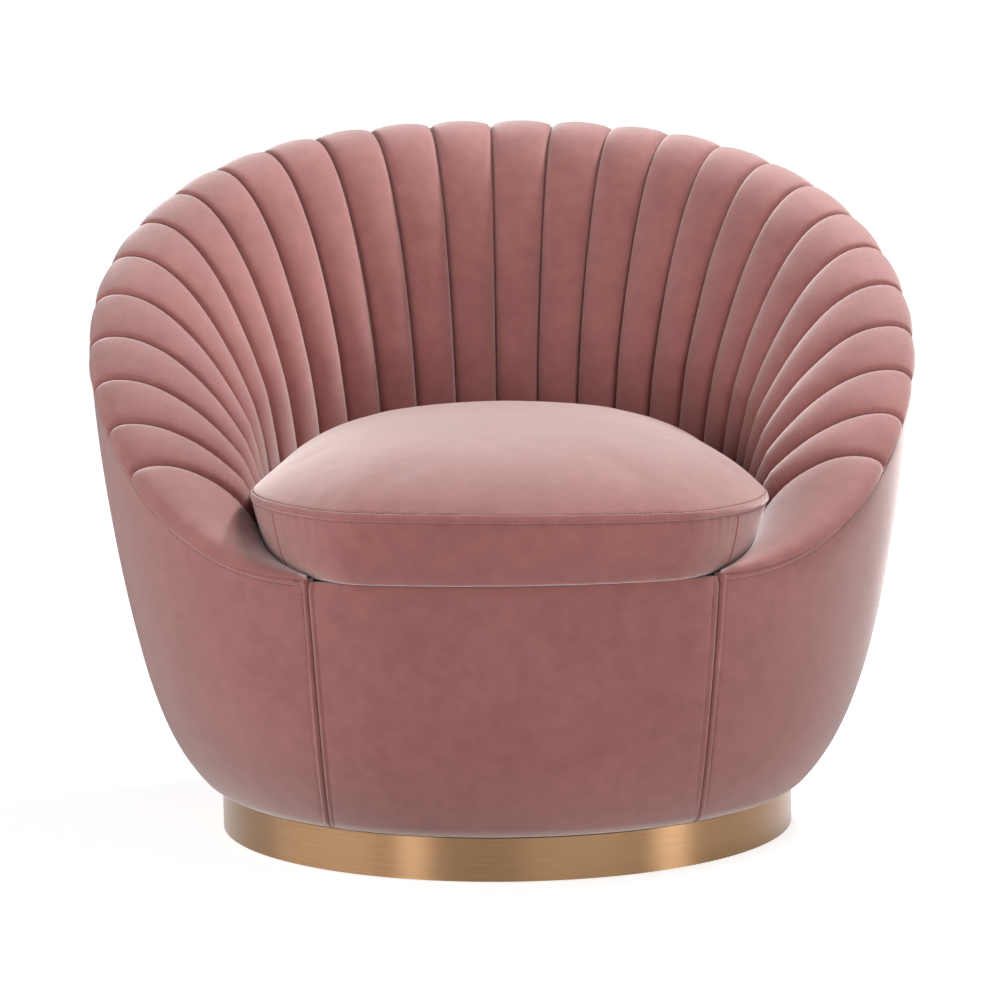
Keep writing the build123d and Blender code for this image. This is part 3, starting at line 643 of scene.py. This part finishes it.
def stitches(name, runs, body):
    """Short thread lozenges along each run of points, lying on the surface beneath them."""
    vertices = []
    faces = []
    for points, normals in runs:
        places = run_places(points)
        centres = np.arange(STITCH_PITCH, places[-1] - STITCH_PITCH, STITCH_PITCH)
        spots = at_places(points, places, centres)
        ups = at_places(normals, places, centres)
        forward = at_places(points, places, centres + STITCH_LOOK_AHEAD) - spots
        forward /= np.maximum(np.linalg.norm(forward, axis=1, keepdims=True), TINY)
        across = np.cross(forward, ups)
        for spot, up, ahead_by, side in zip(spots, ups, forward, across):
            start = len(vertices)
            for place, size in STITCH_RINGS:
                centre = spot + ahead_by * STITCH_LENGTH * place
                for turn in range(4):
                    angle = pi / 2 * turn
                    vertices.append(centre + STITCH_RADIUS * size * (side * cos(angle) + up * sin(angle)))
            for ring in range(3):
                for turn in range(4):
                    a = start + ring * 4 + turn
                    b = start + ring * 4 + (turn + 1) % 4
                    faces.append((a, b, b + 4, a + 4))
            faces.append((start + 3, start + 2, start + 1, start))
            faces.append((start + 12, start + 13, start + 14, start + 15))
    obj = new_object(name, vertices, faces, THREAD)
    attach(obj, body)
    return obj


def sweep(name, points, normals, half_width, half_thick, closed, body):
    """A flat oval welt along a run of points; the normals give its flat side."""
    count = len(points)
    if closed:
        forward = np.roll(points, -1, axis=0) - np.roll(points, 1, axis=0)
    else:
        forward = np.gradient(points, axis=0)
    forward /= np.maximum(np.linalg.norm(forward, axis=1, keepdims=True), TINY)
    across = np.cross(forward, normals)
    across /= np.maximum(np.linalg.norm(across, axis=1, keepdims=True), TINY)
    sides = 12
    size = np.ones(count)
    if not closed:
        size = np.clip(np.minimum(np.arange(count), np.arange(count)[::-1]) / 3, 0.2, 1)
    vertices = []
    for index in range(count):
        for turn in range(sides):
            angle = 2 * pi * turn / sides
            place = across[index] * half_width * cos(angle) + normals[index] * half_thick * sin(angle)
            vertices.append(points[index] + place * size[index])
    rings = count + 1 if closed else count
    faces = []
    for ring in range(rings - 1):
        for turn in range(sides):
            a = ring * sides + turn
            b = ring * sides + (turn + 1) % sides
            c = (ring + 1) % count * sides + (turn + 1) % sides
            d = (ring + 1) % count * sides + turn
            faces.append((a, b, c, d))
    if not closed:
        faces.append(tuple(range(sides))[::-1])
        faces.append(tuple(range((count - 1) * sides, count * sides)))
    obj = new_object(name, vertices, faces, VELVET)
    recalculate(obj)
    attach(obj, body)
    return obj


# Outer cover

def spaced(length, fine, coarse):
    """Places from 0 to 1 that start fine at both ends of a length and open up towards the middle."""
    places = [0.0]
    while places[-1] < length / 2:
        places.append(places[-1] + fine + (coarse - fine) * min(places[-1] / (10 * coarse), 1.0))
    half = np.array(places) / places[-1] / 2
    return np.concatenate([half, (1 - half[::-1])[1:]])


# Grids of the covers: length, finest step, coarsest step
OUTER_ACROSS = (1.05, 0.0009, 0.020)
OUTER_UPWARD = (0.50, 0.0010, 0.016)
FRONT_ACROSS = (0.40, 0.0009, 0.016)
FRONT_UPWARD = (0.25, 0.0012, 0.014)
STITCH_INSET = 0.0066
STITCH_SINK = 0.0004
STITCH_START_RISE = 0.015
STITCH_END_DROP = 0.010
FRONT_STITCH_END_DROP = 0.014
RIM_STITCH_END_TURN = 0.02
# Place, height and width of each fold beside a seam
SEAM_FOLDS = ((0.0, -0.0020, 0.0011), (0.0036, 0.0009, 0.0018), (STITCH_INSET, -0.0007, 0.0010))
HEM_DEPTH = 0.005
HEM_HEIGHT = 0.010
FRONT_TOP_DEPTH = 0.003
FRONT_TOP_HEIGHT = 0.012


def felled_seam(distance):
    """Surface height beside a twin-stitched seam: a crease, a ridge, then the dent of the stitches."""
    return sum(height * np.exp(-((distance - place) / width) ** 2) for place, height, width in SEAM_FOLDS)


def side_seam_x(z):
    share = (z - BODY_BOTTOM_Z) / (CHANNEL_FOOT_Z - BODY_BOTTOM_Z)
    return SIDE_SEAM_BOTTOM_X + (arm_tip()[0] - SIDE_SEAM_BOTTOM_X) * np.clip(share, 0, 1)


def side_seam_turn(z):
    """Angle of the front seam at a height, from the middle of the back."""
    return pi - np.arcsin(side_seam_x(z) / barrel_radius(z))


def rolled_under(height):
    """How far the cover draws in towards the plinth near its bottom edge."""
    return HEM_DEPTH * np.clip(1 - height / HEM_HEIGHT, 0, 1) ** 2


def build_outer_cover(side, name, node):
    across = spaced(*OUTER_ACROSS)
    upward = spaced(*OUTER_UPWARD)
    columns, rows = np.meshgrid(across, upward)
    turn = columns * radians(OUTER_SEAM_END_DEG)
    for _ in range(8):
        top = outer_seam_height(np.degrees(turn))
        z = BODY_BOTTOM_Z + (top - BODY_BOTTOM_Z) * rows
        radius = barrel_radius(z)
        last = side_seam_turn(z)
        turn = columns * last
    to_front = (last - turn) * radius
    to_back = turn * radius
    slope = np.gradient(outer_seam_height(np.degrees(turn[-1])), turn[-1] * radius[-1])
    to_rim = (top - z) / np.sqrt(1 + slope ** 2)[None, :]
    offset = felled_seam(to_front) + felled_seam(to_rim) + felled_seam(to_back)
    offset -= rolled_under(z - BODY_BOTTOM_Z)
    points = np.stack([side * radius * np.sin(turn), radius * np.cos(turn), z], axis=2)
    offset += wander(points, *OUTER_WANDER)
    outward = np.stack([side * np.sin(turn), np.cos(turn), np.zeros_like(turn)], axis=2)
    front = points + outward * offset[..., None]
    obj = shell_object(name, front, points - outward * COVER_THICK, VELVET)
    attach(obj, "seat_body")
    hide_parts(node)
    runs = []
    turns = np.linspace(RIM_STITCH_END_TURN, radians(OUTER_SEAM_END_DEG) - RIM_STITCH_END_TURN, 300)
    tops = outer_seam_height(np.degrees(turns))
    radii = barrel_radius(tops)
    slopes = np.gradient(tops, turns * radii)
    heights = tops - STITCH_INSET * np.sqrt(1 + slopes ** 2)
    runs.append(barrel_run(turns, heights, side))
    heights = np.linspace(BODY_BOTTOM_Z + STITCH_START_RISE, CHANNEL_FOOT_Z - STITCH_END_DROP, 80)
    runs.append(barrel_run(side_seam_turn(heights) - STITCH_INSET / barrel_radius(heights), heights, side))
    heights = np.linspace(BODY_BOTTOM_Z + STITCH_START_RISE, OUTER_SEAM_BACK_Z - STITCH_END_DROP, 160)
    runs.append(barrel_run(STITCH_INSET / barrel_radius(heights), heights, side))
    stitches(name + "_stitches", runs, "seat_body")


def barrel_run(turns, heights, side):
    """Points and normals on the barrel, sunk a little into the dent that stitches make."""
    normals = np.stack([side * np.sin(turns), np.cos(turns), np.zeros_like(turns)], axis=1)
    points = normals * (barrel_radius(heights) - STITCH_SINK)[:, None]
    points[:, 2] = heights
    return points, normals


def build_front_panel():
    across = spaced(*FRONT_ACROSS)
    upward = spaced(*FRONT_UPWARD)
    columns, rows = np.meshgrid(across, upward)
    z = BODY_BOTTOM_Z + (DECK_Z - BODY_BOTTOM_Z) * rows
    radius = barrel_radius(z)
    last = np.arcsin(side_seam_x(z) / radius)
    turn = (2 * columns - 1) * last
    offset = felled_seam((last - np.abs(turn)) * radius)
    offset -= rolled_under(z - BODY_BOTTOM_Z)
    offset -= FRONT_TOP_DEPTH * np.clip(1 - (DECK_Z - z) / FRONT_TOP_HEIGHT, 0, 1) ** 2
    points = np.stack([radius * np.sin(turn), -radius * np.cos(turn), z], axis=2)
    offset += wander(points, *FRONT_WANDER)
    outward = np.stack([np.sin(turn), -np.cos(turn), np.zeros_like(turn)], axis=2)
    front = points + outward * offset[..., None]
    obj = shell_object("front_cover", front, points - outward * COVER_THICK, VELVET)
    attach(obj, "seat_body")
    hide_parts("front_panel")
    heights = np.linspace(BODY_BOTTOM_Z + STITCH_START_RISE, DECK_Z - FRONT_STITCH_END_DROP, 80)
    turns = side_seam_turn(heights) + STITCH_INSET / barrel_radius(heights)
    runs = [barrel_run(turns, heights, side) for side in (1.0, -1.0)]
    stitches("front_cover_stitches", runs, "seat_body")


# Seat deck and cushion

def seam_height(x):
    """Height of the cushion's top seam, which sits a little lower on the right."""
    return CUSHION_SEAM_HEIGHT + CUSHION_SEAM_SKEW * x


def arc_points(start, through, end, count):
    """Points on the arc from start to end through a third point, without the end."""
    a, b, c = (np.array(point, float) for point in (start, through, end))
    d = 2 * (a[0] * (b[1] - c[1]) + b[0] * (c[1] - a[1]) + c[0] * (a[1] - b[1]))
    squares = [point @ point for point in (a, b, c)]
    x = (squares[0] * (b[1] - c[1]) + squares[1] * (c[1] - a[1]) + squares[2] * (a[1] - b[1])) / d
    y = (squares[0] * (c[0] - b[0]) + squares[1] * (a[0] - c[0]) + squares[2] * (b[0] - a[0])) / d
    centre = np.array([x, y])
    radius = np.linalg.norm(a - centre)
    first = np.arctan2(*(a - centre)[::-1])
    middle = np.arctan2(*(b - centre)[::-1])
    last = np.arctan2(*(c - centre)[::-1])
    while middle > first:
        middle -= 2 * pi
    while last > middle:
        last -= 2 * pi
    angles = np.linspace(first, last, count, endpoint=False)
    return centre + radius * np.stack([np.cos(angles), np.sin(angles)], axis=1)


def cushion_plan(inset, share, scale=1.0, count=CUSHION_POINTS):
    """The cushion's plan, clockwise from the middle of the back, with soft corners."""
    half = CUSHION_HALF_WIDTH - inset
    side = half + CUSHION_FLARE * share
    side_y = CUSHION_SIDE_Y + inset
    front = float(barrel_radius(DECK_Z)) + CUSHION_OVERHANG - inset
    corner_x = CUSHION_CORNER_X - inset
    bow = CUSHION_BOTTOM_BOW + (CUSHION_SEAM_BOW - CUSHION_BOTTOM_BOW) * share
    corner_y = -front + bow * corner_x / CUSHION_CORNER_X
    bulge = CUSHION_BOTTOM_BULGE + (CUSHION_SEAM_BULGE - CUSHION_BOTTOM_BULGE) * share
    bend = ((side + corner_x) / 2 + bulge, (side_y + corner_y) / 2 - bulge)
    diagonal = half * sqrt(0.5)
    right = np.vstack([
        arc_points((0.0, half), (diagonal, diagonal), (half, 0.0), 60),
        np.linspace((half, 0.0), (side, side_y), 40, endpoint=False),
        arc_points((side, side_y), bend, (corner_x, corner_y), 50),
        arc_points((corner_x, corner_y), (corner_x / 2, -front + (corner_y + front) / 4), (0.0, -front), 40),
    ])
    left = right[1:][::-1] * np.array([-1.0, 1.0])
    loop = even_loop(np.vstack([right, [(0.0, -front)], left]), CUSHION_FINE_POINTS)
    shifts = np.arange(-CUSHION_CORNER_REACH, CUSHION_CORNER_REACH + 1)
    weights = np.exp(-0.5 * (shifts / CUSHION_CORNER_SOFTNESS) ** 2)
    weights /= weights.sum()
    loop = sum(weight * np.roll(loop, shift, axis=0) for shift, weight in zip(shifts, weights))
    middle = np.array([0.0, CUSHION_CENTRE_Y])
    return middle + (even_loop(loop, count) - middle) * scale


def side_inset(share):
    """Draw-in of the boxing between the cushion's bottom and its top seam."""
    return float(np.interp(share, CUSHION_SIDE_SHARES, CUSHION_SIDE_INSETS))


def stacked_solid(name, levels, material):
    """A closed solid of stacked outlines, capped at both ends; levels hold (outline, heights)."""
    columns = len(levels[0][0])
    rings = [np.column_stack([outline, np.broadcast_to(height, columns)]) for outline, height in levels]
    vertices = [tuple(point) for point in np.vstack(rings)]
    faces = grid_faces(len(levels), columns, closed=True)
    for index, direction in ((0, 1), (len(levels) - 1, -1)):
        middle = len(vertices)
        vertices.append(tuple(rings[index].mean(axis=0)))
        for column in range(columns):
            a = index * columns + column
            b = index * columns + (column + 1) % columns
            faces.append((middle, b, a) if direction > 0 else (middle, a, b))
    obj = new_object(name, vertices, faces, material)
    recalculate(obj)
    return obj


def cushion_levels(slim, crown_slim):
    levels = []
    for share in CUSHION_SIDE_STATIONS:
        plan = cushion_plan(side_inset(share) + slim, share)
        levels.append((plan, CUSHION_BASE_Z + seam_height(plan[:, 0]) * share))
    for scale in CUSHION_TOP_SCALES:
        rise = (1 - scale ** CUSHION_CROWN_SPREAD) ** CUSHION_CROWN_ROUND
        plan = cushion_plan(side_inset(1.0) + slim, 1.0, scale)
        low = seam_height(plan[:, 0])
        levels.append((plan, CUSHION_BASE_Z + low + (CUSHION_HEIGHT - crown_slim - low) * rise))
    return levels


def build_deck():
    """The covered deck, which runs out under the channels and into the corners at the arm ends."""
    low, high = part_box("seat_deck")
    round_r = high[0]
    front_r = -low[1]
    feet = np.array([seam_foot(HALF_CHANNELS - 1 + share)[:2] for share in np.linspace(0.3, 1, 29)])
    feet[:, 0] += DECK_UNDER_ARM

    def outline(inset):
        reach = np.linalg.norm(feet, axis=1)
        corner = feet[reach > round_r - inset]
        limit = np.minimum((front_r - inset) / np.linalg.norm(corner, axis=1), 1.0)
        corner = corner * limit[:, None]
        turn = np.linspace(0, np.arctan2(corner[0, 0], corner[0, 1]), 40)
        arc = np.stack([(round_r - inset) * np.sin(turn), (round_r - inset) * np.cos(turn)], axis=1)
        front = np.linspace(np.arcsin(corner[-1, 0] / (front_r - inset)), 0, 14)[1:]
        lip = np.stack([(front_r - inset) * np.sin(front), -(front_r - inset) * np.cos(front)], axis=1)
        right = even_run(np.vstack([arc, corner, lip]), 90)
        left = right[1:-1][::-1] * np.array([-1.0, 1.0])
        return np.vstack([right, left])

    levels = [(outline(DECK_FOOT_ROUND), low[2]), (outline(0.0), low[2] + DECK_FOOT_ROUND)]
    levels += [(outline(inset), DECK_Z - drop) for inset, drop in DECK_EDGE_ROUND]
    obj = stacked_solid("deck_cover", levels, VELVET)
    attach(obj, "seat_body")
    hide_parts("seat_deck")


def keep_evaluated(obj):
    """Replace a mesh by what its modifiers make of it."""
    graph = bpy.context.evaluated_depsgraph_get()
    mesh = bpy.data.meshes.new_from_object(obj.evaluated_get(graph))
    obj.modifiers.clear()
    old = obj.data
    obj.data = mesh
    bpy.data.meshes.remove(old)


def mesh_points(obj):
    values = np.empty(len(obj.data.vertices) * 3)
    obj.data.vertices.foreach_get("co", values)
    return values.reshape(-1, 3)


def set_mesh_points(obj, points):
    obj.data.vertices.foreach_set("co", np.ascontiguousarray(points).ravel())
    obj.data.update()


def puff(obj, is_held):
    """Inflate a closed cover by a cloth simulation, held where its seams and its rest face are."""
    remesh = obj.modifiers.new("remesh", "REMESH")
    remesh.mode = "VOXEL"
    remesh.voxel_size = CUSHION_VOXEL
    keep_evaluated(obj)
    start = mesh_points(obj)
    held = obj.vertex_groups.new(name="held")
    held.add([int(index) for index in np.nonzero(is_held(start))[0]], 1.0, "REPLACE")
    cloth = obj.modifiers.new("cloth", "CLOTH")
    settings = cloth.settings
    settings.quality = 5
    settings.mass = 0.3
    settings.tension_stiffness = 20
    settings.compression_stiffness = 20
    settings.shear_stiffness = 10
    settings.bending_stiffness = 2
    settings.use_pressure = True
    settings.uniform_pressure_force = CUSHION_PRESSURE
    settings.vertex_group_mass = "held"
    settings.effector_weights.gravity = 0
    cloth.collision_settings.use_collision = False
    cloth.point_cache.frame_start = 1
    cloth.point_cache.frame_end = CUSHION_FRAMES
    scene = bpy.context.scene
    for step in range(1, CUSHION_FRAMES + 1):
        scene.frame_set(step)
    keep_evaluated(obj)
    scene.frame_set(1)
    moved = mesh_points(obj) - start
    distance = np.maximum(np.linalg.norm(moved, axis=1, keepdims=True), TINY)
    set_mesh_points(obj, start + moved * np.minimum(1.0, CUSHION_MOVE_MAX / distance))
    ease_creases(obj, is_held(start))


def ease_creases(obj, held):
    """Smooth the small creases a simulation leaves, away from the held seams."""
    mesh = bmesh.new()
    mesh.from_mesh(obj.data)
    mesh.verts.ensure_lookup_table()
    free = [vertex for vertex in mesh.verts if not held[vertex.index]]
    for _ in range(CUSHION_EASE_ROUNDS):
        bmesh.ops.smooth_vert(mesh, verts=free, factor=0.5, use_axis_x=True, use_axis_y=True, use_axis_z=True)
    mesh.to_mesh(obj.data)
    mesh.free()


def near_loop(points, loop):
    """For each point, the index of the nearest point of a level loop and its level distance."""
    index = np.empty(len(points), int)
    distance = np.empty(len(points))
    for first in range(0, len(points), 4000):
        block = points[first:first + 4000, None, :2] - loop[None, :, :2]
        lengths = np.linalg.norm(block, axis=2)
        index[first:first + 4000] = lengths.argmin(axis=1)
        distance[first:first + 4000] = lengths.min(axis=1)
    return index, distance


def pucker(obj, seam):
    """Draw up the boxing under the top seam, in patches."""
    points = mesh_points(obj)
    index, distance = near_loop(points, seam)
    along = index * (np.linalg.norm(seam - np.roll(seam, 1, axis=0), axis=1).sum() / len(seam))
    below = CUSHION_BASE_Z + seam_height(points[:, 0]) - points[:, 2]
    side = (below > PUCKER_START) & (distance < PUCKER_REACH)
    strength = np.array([0.5 + noise.noise(Vector((place / PUCKER_PATCH, 3.7, 0.2))) for place in along])
    ripple = PUCKER_HEIGHT * np.clip(strength, 0, 1) * np.exp(-below / PUCKER_DROP)
    ripple *= np.sin(2 * pi * along / PUCKER_LENGTH + 2.0 * np.sin(along / PUCKER_DRIFT))
    normals = np.empty(len(points) * 3)
    obj.data.vertices.foreach_get("normal", normals)
    normals = normals.reshape(-1, 3)
    points = points + normals * np.where(side, ripple, 0.0)[:, None]
    points[:, 2] = np.maximum(points[:, 2], CUSHION_BASE_Z)
    set_mesh_points(obj, points)


def build_cushion():
    obj = stacked_solid("seat_cushion_cover", cushion_levels(CUSHION_SLIM, CUSHION_CROWN_SLIM), VELVET)
    seam = cushion_plan(side_inset(1.0) + CUSHION_SLIM, 1.0, count=CUSHION_FINE_POINTS)

    def is_held(points):
        _, distance = near_loop(points, seam)
        off_seam = points[:, 2] - CUSHION_BASE_Z - seam_height(points[:, 0])
        at_seam = (np.abs(off_seam) < HELD_SEAM_HEIGHT) & (distance < HELD_SEAM_REACH)
        return at_seam | (points[:, 2] < CUSHION_BASE_Z + HELD_BASE_HEIGHT)

    puff(obj, is_held)
    pucker(obj, seam)
    subdivide(obj)
    for polygon in obj.data.polygons:
        polygon.use_smooth = True
    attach(obj, "cushion")
    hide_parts("seat_cushion")
    sew_cushion(obj, seam)


def sew_cushion(obj, seam):
    """The welted top seam with its two rows of stitches, and the seams of the front boxing."""
    graph = bpy.context.evaluated_depsgraph_get()
    surface = BVHTree.FromObject(obj, graph)

    def rest(places):
        points = []
        normals = []
        for place in places:
            point, normal, _, _ = surface.find_nearest(Vector(place))
            points.append(point)
            normals.append(normal)
        return smoothed(np.array(points)), smoothed(np.array(normals), 4)

    def smoothed(values, rounds=2):
        for _ in range(rounds):
            values = (np.roll(values, 1, axis=0) + 2 * values + np.roll(values, -1, axis=0)) / 4
        return values

    ring = np.column_stack([seam, CUSHION_BASE_Z + seam_height(seam[:, 0])])
    points, normals = rest(ring)
    normals /= np.linalg.norm(normals, axis=1, keepdims=True)
    sweep("cushion_top_welt", points, normals, WELT_HALF_WIDTH, WELT_HALF_THICK, True,
          "cushion")
    runs = []
    for rise in CUSHION_STITCH_RISES:
        row, row_normals = rest(points + np.array([0.0, 0.0, rise]))
        row_normals /= np.linalg.norm(row_normals, axis=1, keepdims=True)
        runs.append((row + row_normals * CUSHION_STITCH_PROUD, row_normals))
    stitches("cushion_stitches", runs, "cushion")
    for side, name, forward in CORNER_SEAMS:
        path = []
        for share in np.linspace(CORNER_SEAM_FIRST, CORNER_SEAM_LAST, CORNER_SEAM_POINTS):
            plan = cushion_plan(side_inset(share), share, count=CUSHION_FINE_POINTS)
            right = plan[(plan[:, 0] > 0) & (plan[:, 1] < -0.1)]
            spot = right[np.argmin(np.abs(right[:, 1] + forward - CORNER_SEAM_LEAN * (1 - share)))]
            path.append((side * spot[0], spot[1], CUSHION_BASE_Z + seam_height(side * spot[0]) * share))
        points, normals = rest(path)
        points[0] = points[1] + (points[1] - points[2])
        points[-1] = points[-2] + (points[-2] - points[-3])
        normals[0] = normals[1]
        normals[-1] = normals[-2]
        normals /= np.linalg.norm(normals, axis=1, keepdims=True)
        sweep(name, points, normals, CORNER_SEAM_HALF_WIDTH, CORNER_SEAM_HALF_THICK, False,
              "cushion")


# Studio

def shown_to_camera(nodes, links):
    """1 for rays that the camera, a gloss or a transmission sends, otherwise 0."""
    path = nodes.new("ShaderNodeLightPath")
    first = nodes.new("ShaderNodeMath")
    first.operation = "MAXIMUM"
    links.new(path.outputs["Is Camera Ray"], first.inputs[0])
    links.new(path.outputs["Is Glossy Ray"], first.inputs[1])
    second = nodes.new("ShaderNodeMath")
    second.operation = "MAXIMUM"
    links.new(first.outputs[0], second.inputs[0])
    links.new(path.outputs["Is Transmission Ray"], second.inputs[1])
    return second.outputs[0]


FLOOR_HALF = 14.0
FLOOR_GLOW_NEAR = 0.80
FLOOR_GLOW_FAR = 1.0
FLOOR_FADE_START = 0.9
FLOOR_FADE_END = 2.6


def floor_material():
    """White paper that shows the object's shadow near it and fades to plain white further off."""
    shader = Shader("floor_paper")
    paper = [(0.3, (0.50, 0.50, 0.50)), (0.7, (0.54, 0.54, 0.54))]
    shader.feed("Base Color", shader.ramp(shader.noise(40.0), paper))
    shader.set(Roughness=0.95, Specular_IOR_Level=0.0)
    nodes = shader.nodes
    links = shader.links
    length = nodes.new("ShaderNodeVectorMath")
    length.operation = "LENGTH"
    links.new(shader.coordinates, length.inputs[0])
    fade = shader.spread(length.outputs["Value"], FLOOR_GLOW_NEAR, FLOOR_GLOW_FAR,
                         FLOOR_FADE_START, FLOOR_FADE_END)
    shown = nodes.new("ShaderNodeMath")
    shown.operation = "MULTIPLY"
    links.new(fade, shown.inputs[0])
    links.new(shown_to_camera(nodes, links), shown.inputs[1])
    shader.set(Emission_Color=(1.0, 1.0, 1.0, 1.0))
    links.new(shown.outputs[0], shader.surface.inputs["Emission Strength"])
    return shader.material


def add_lamp(name, place, size, energy):
    lamp = bpy.data.lights.new(name, "AREA")
    lamp.shape = "DISK"
    lamp.size = size
    lamp.energy = energy
    obj = bpy.data.objects.new(name, lamp)
    obj.location = place
    aim = Vector((0.0, 0.0, LAMP_AIM_Z)) - Vector(place)
    obj.rotation_euler = aim.to_track_quat("-Z", "Y").to_euler()
    bpy.context.scene.collection.objects.link(obj)


def build_studio():
    half = FLOOR_HALF
    corners = [(-half, -half, 0), (half, -half, 0), (half, half, 0), (-half, half, 0)]
    floor = new_object("floor", corners, [(0, 1, 2, 3)], floor_material())
    world = bpy.data.worlds.new("studio")
    bpy.context.scene.world = world
    world.use_nodes = True
    nodes = world.node_tree.nodes
    links = world.node_tree.links
    nodes.clear()
    output = nodes.new("ShaderNodeOutputWorld")
    light = nodes.new("ShaderNodeBackground")
    light.inputs["Color"].default_value = (1.0, 1.0, 1.0, 1.0)
    light.inputs["Strength"].default_value = WORLD_LIGHT
    white = nodes.new("ShaderNodeBackground")
    white.inputs["Color"].default_value = (1.0, 1.0, 1.0, 1.0)
    mix = nodes.new("ShaderNodeMixShader")
    links.new(shown_to_camera(nodes, links), mix.inputs[0])
    links.new(light.outputs[0], mix.inputs[1])
    links.new(white.outputs[0], mix.inputs[2])
    links.new(mix.outputs[0], output.inputs["Surface"])
    for name, place, size, energy in LAMPS:
        add_lamp(name, place, size, energy)


def build_camera():
    data = bpy.data.cameras.new("camera")
    data.sensor_width = SENSOR
    data.lens = FOCAL_SHARE * SENSOR
    camera = bpy.data.objects.new("camera", data)
    stand = Matrix.Translation((CAMERA_SIDE, -CAMERA_DISTANCE, CAMERA_HEIGHT))
    place = Matrix.Rotation(-CAMERA_YAW, 4, "Z") @ stand
    tilt = Matrix.Rotation(pi / 2 - CAMERA_PITCH, 4, "X") @ Matrix.Rotation(-CAMERA_ROLL, 4, "Z")
    camera.matrix_world = place @ tilt
    bpy.context.scene.collection.objects.link(camera)
    bpy.context.scene.camera = camera


bpy.context.scene.view_settings.view_transform = "Standard"
dress_cad_nodes()
build_inside_cover()
build_outer_cover(1.0, "side_cover_right", "outer_cover_right")
build_outer_cover(-1.0, "side_cover_left", "outer_cover_left")
build_front_panel()
build_deck()
build_cushion()
build_studio()
build_camera()
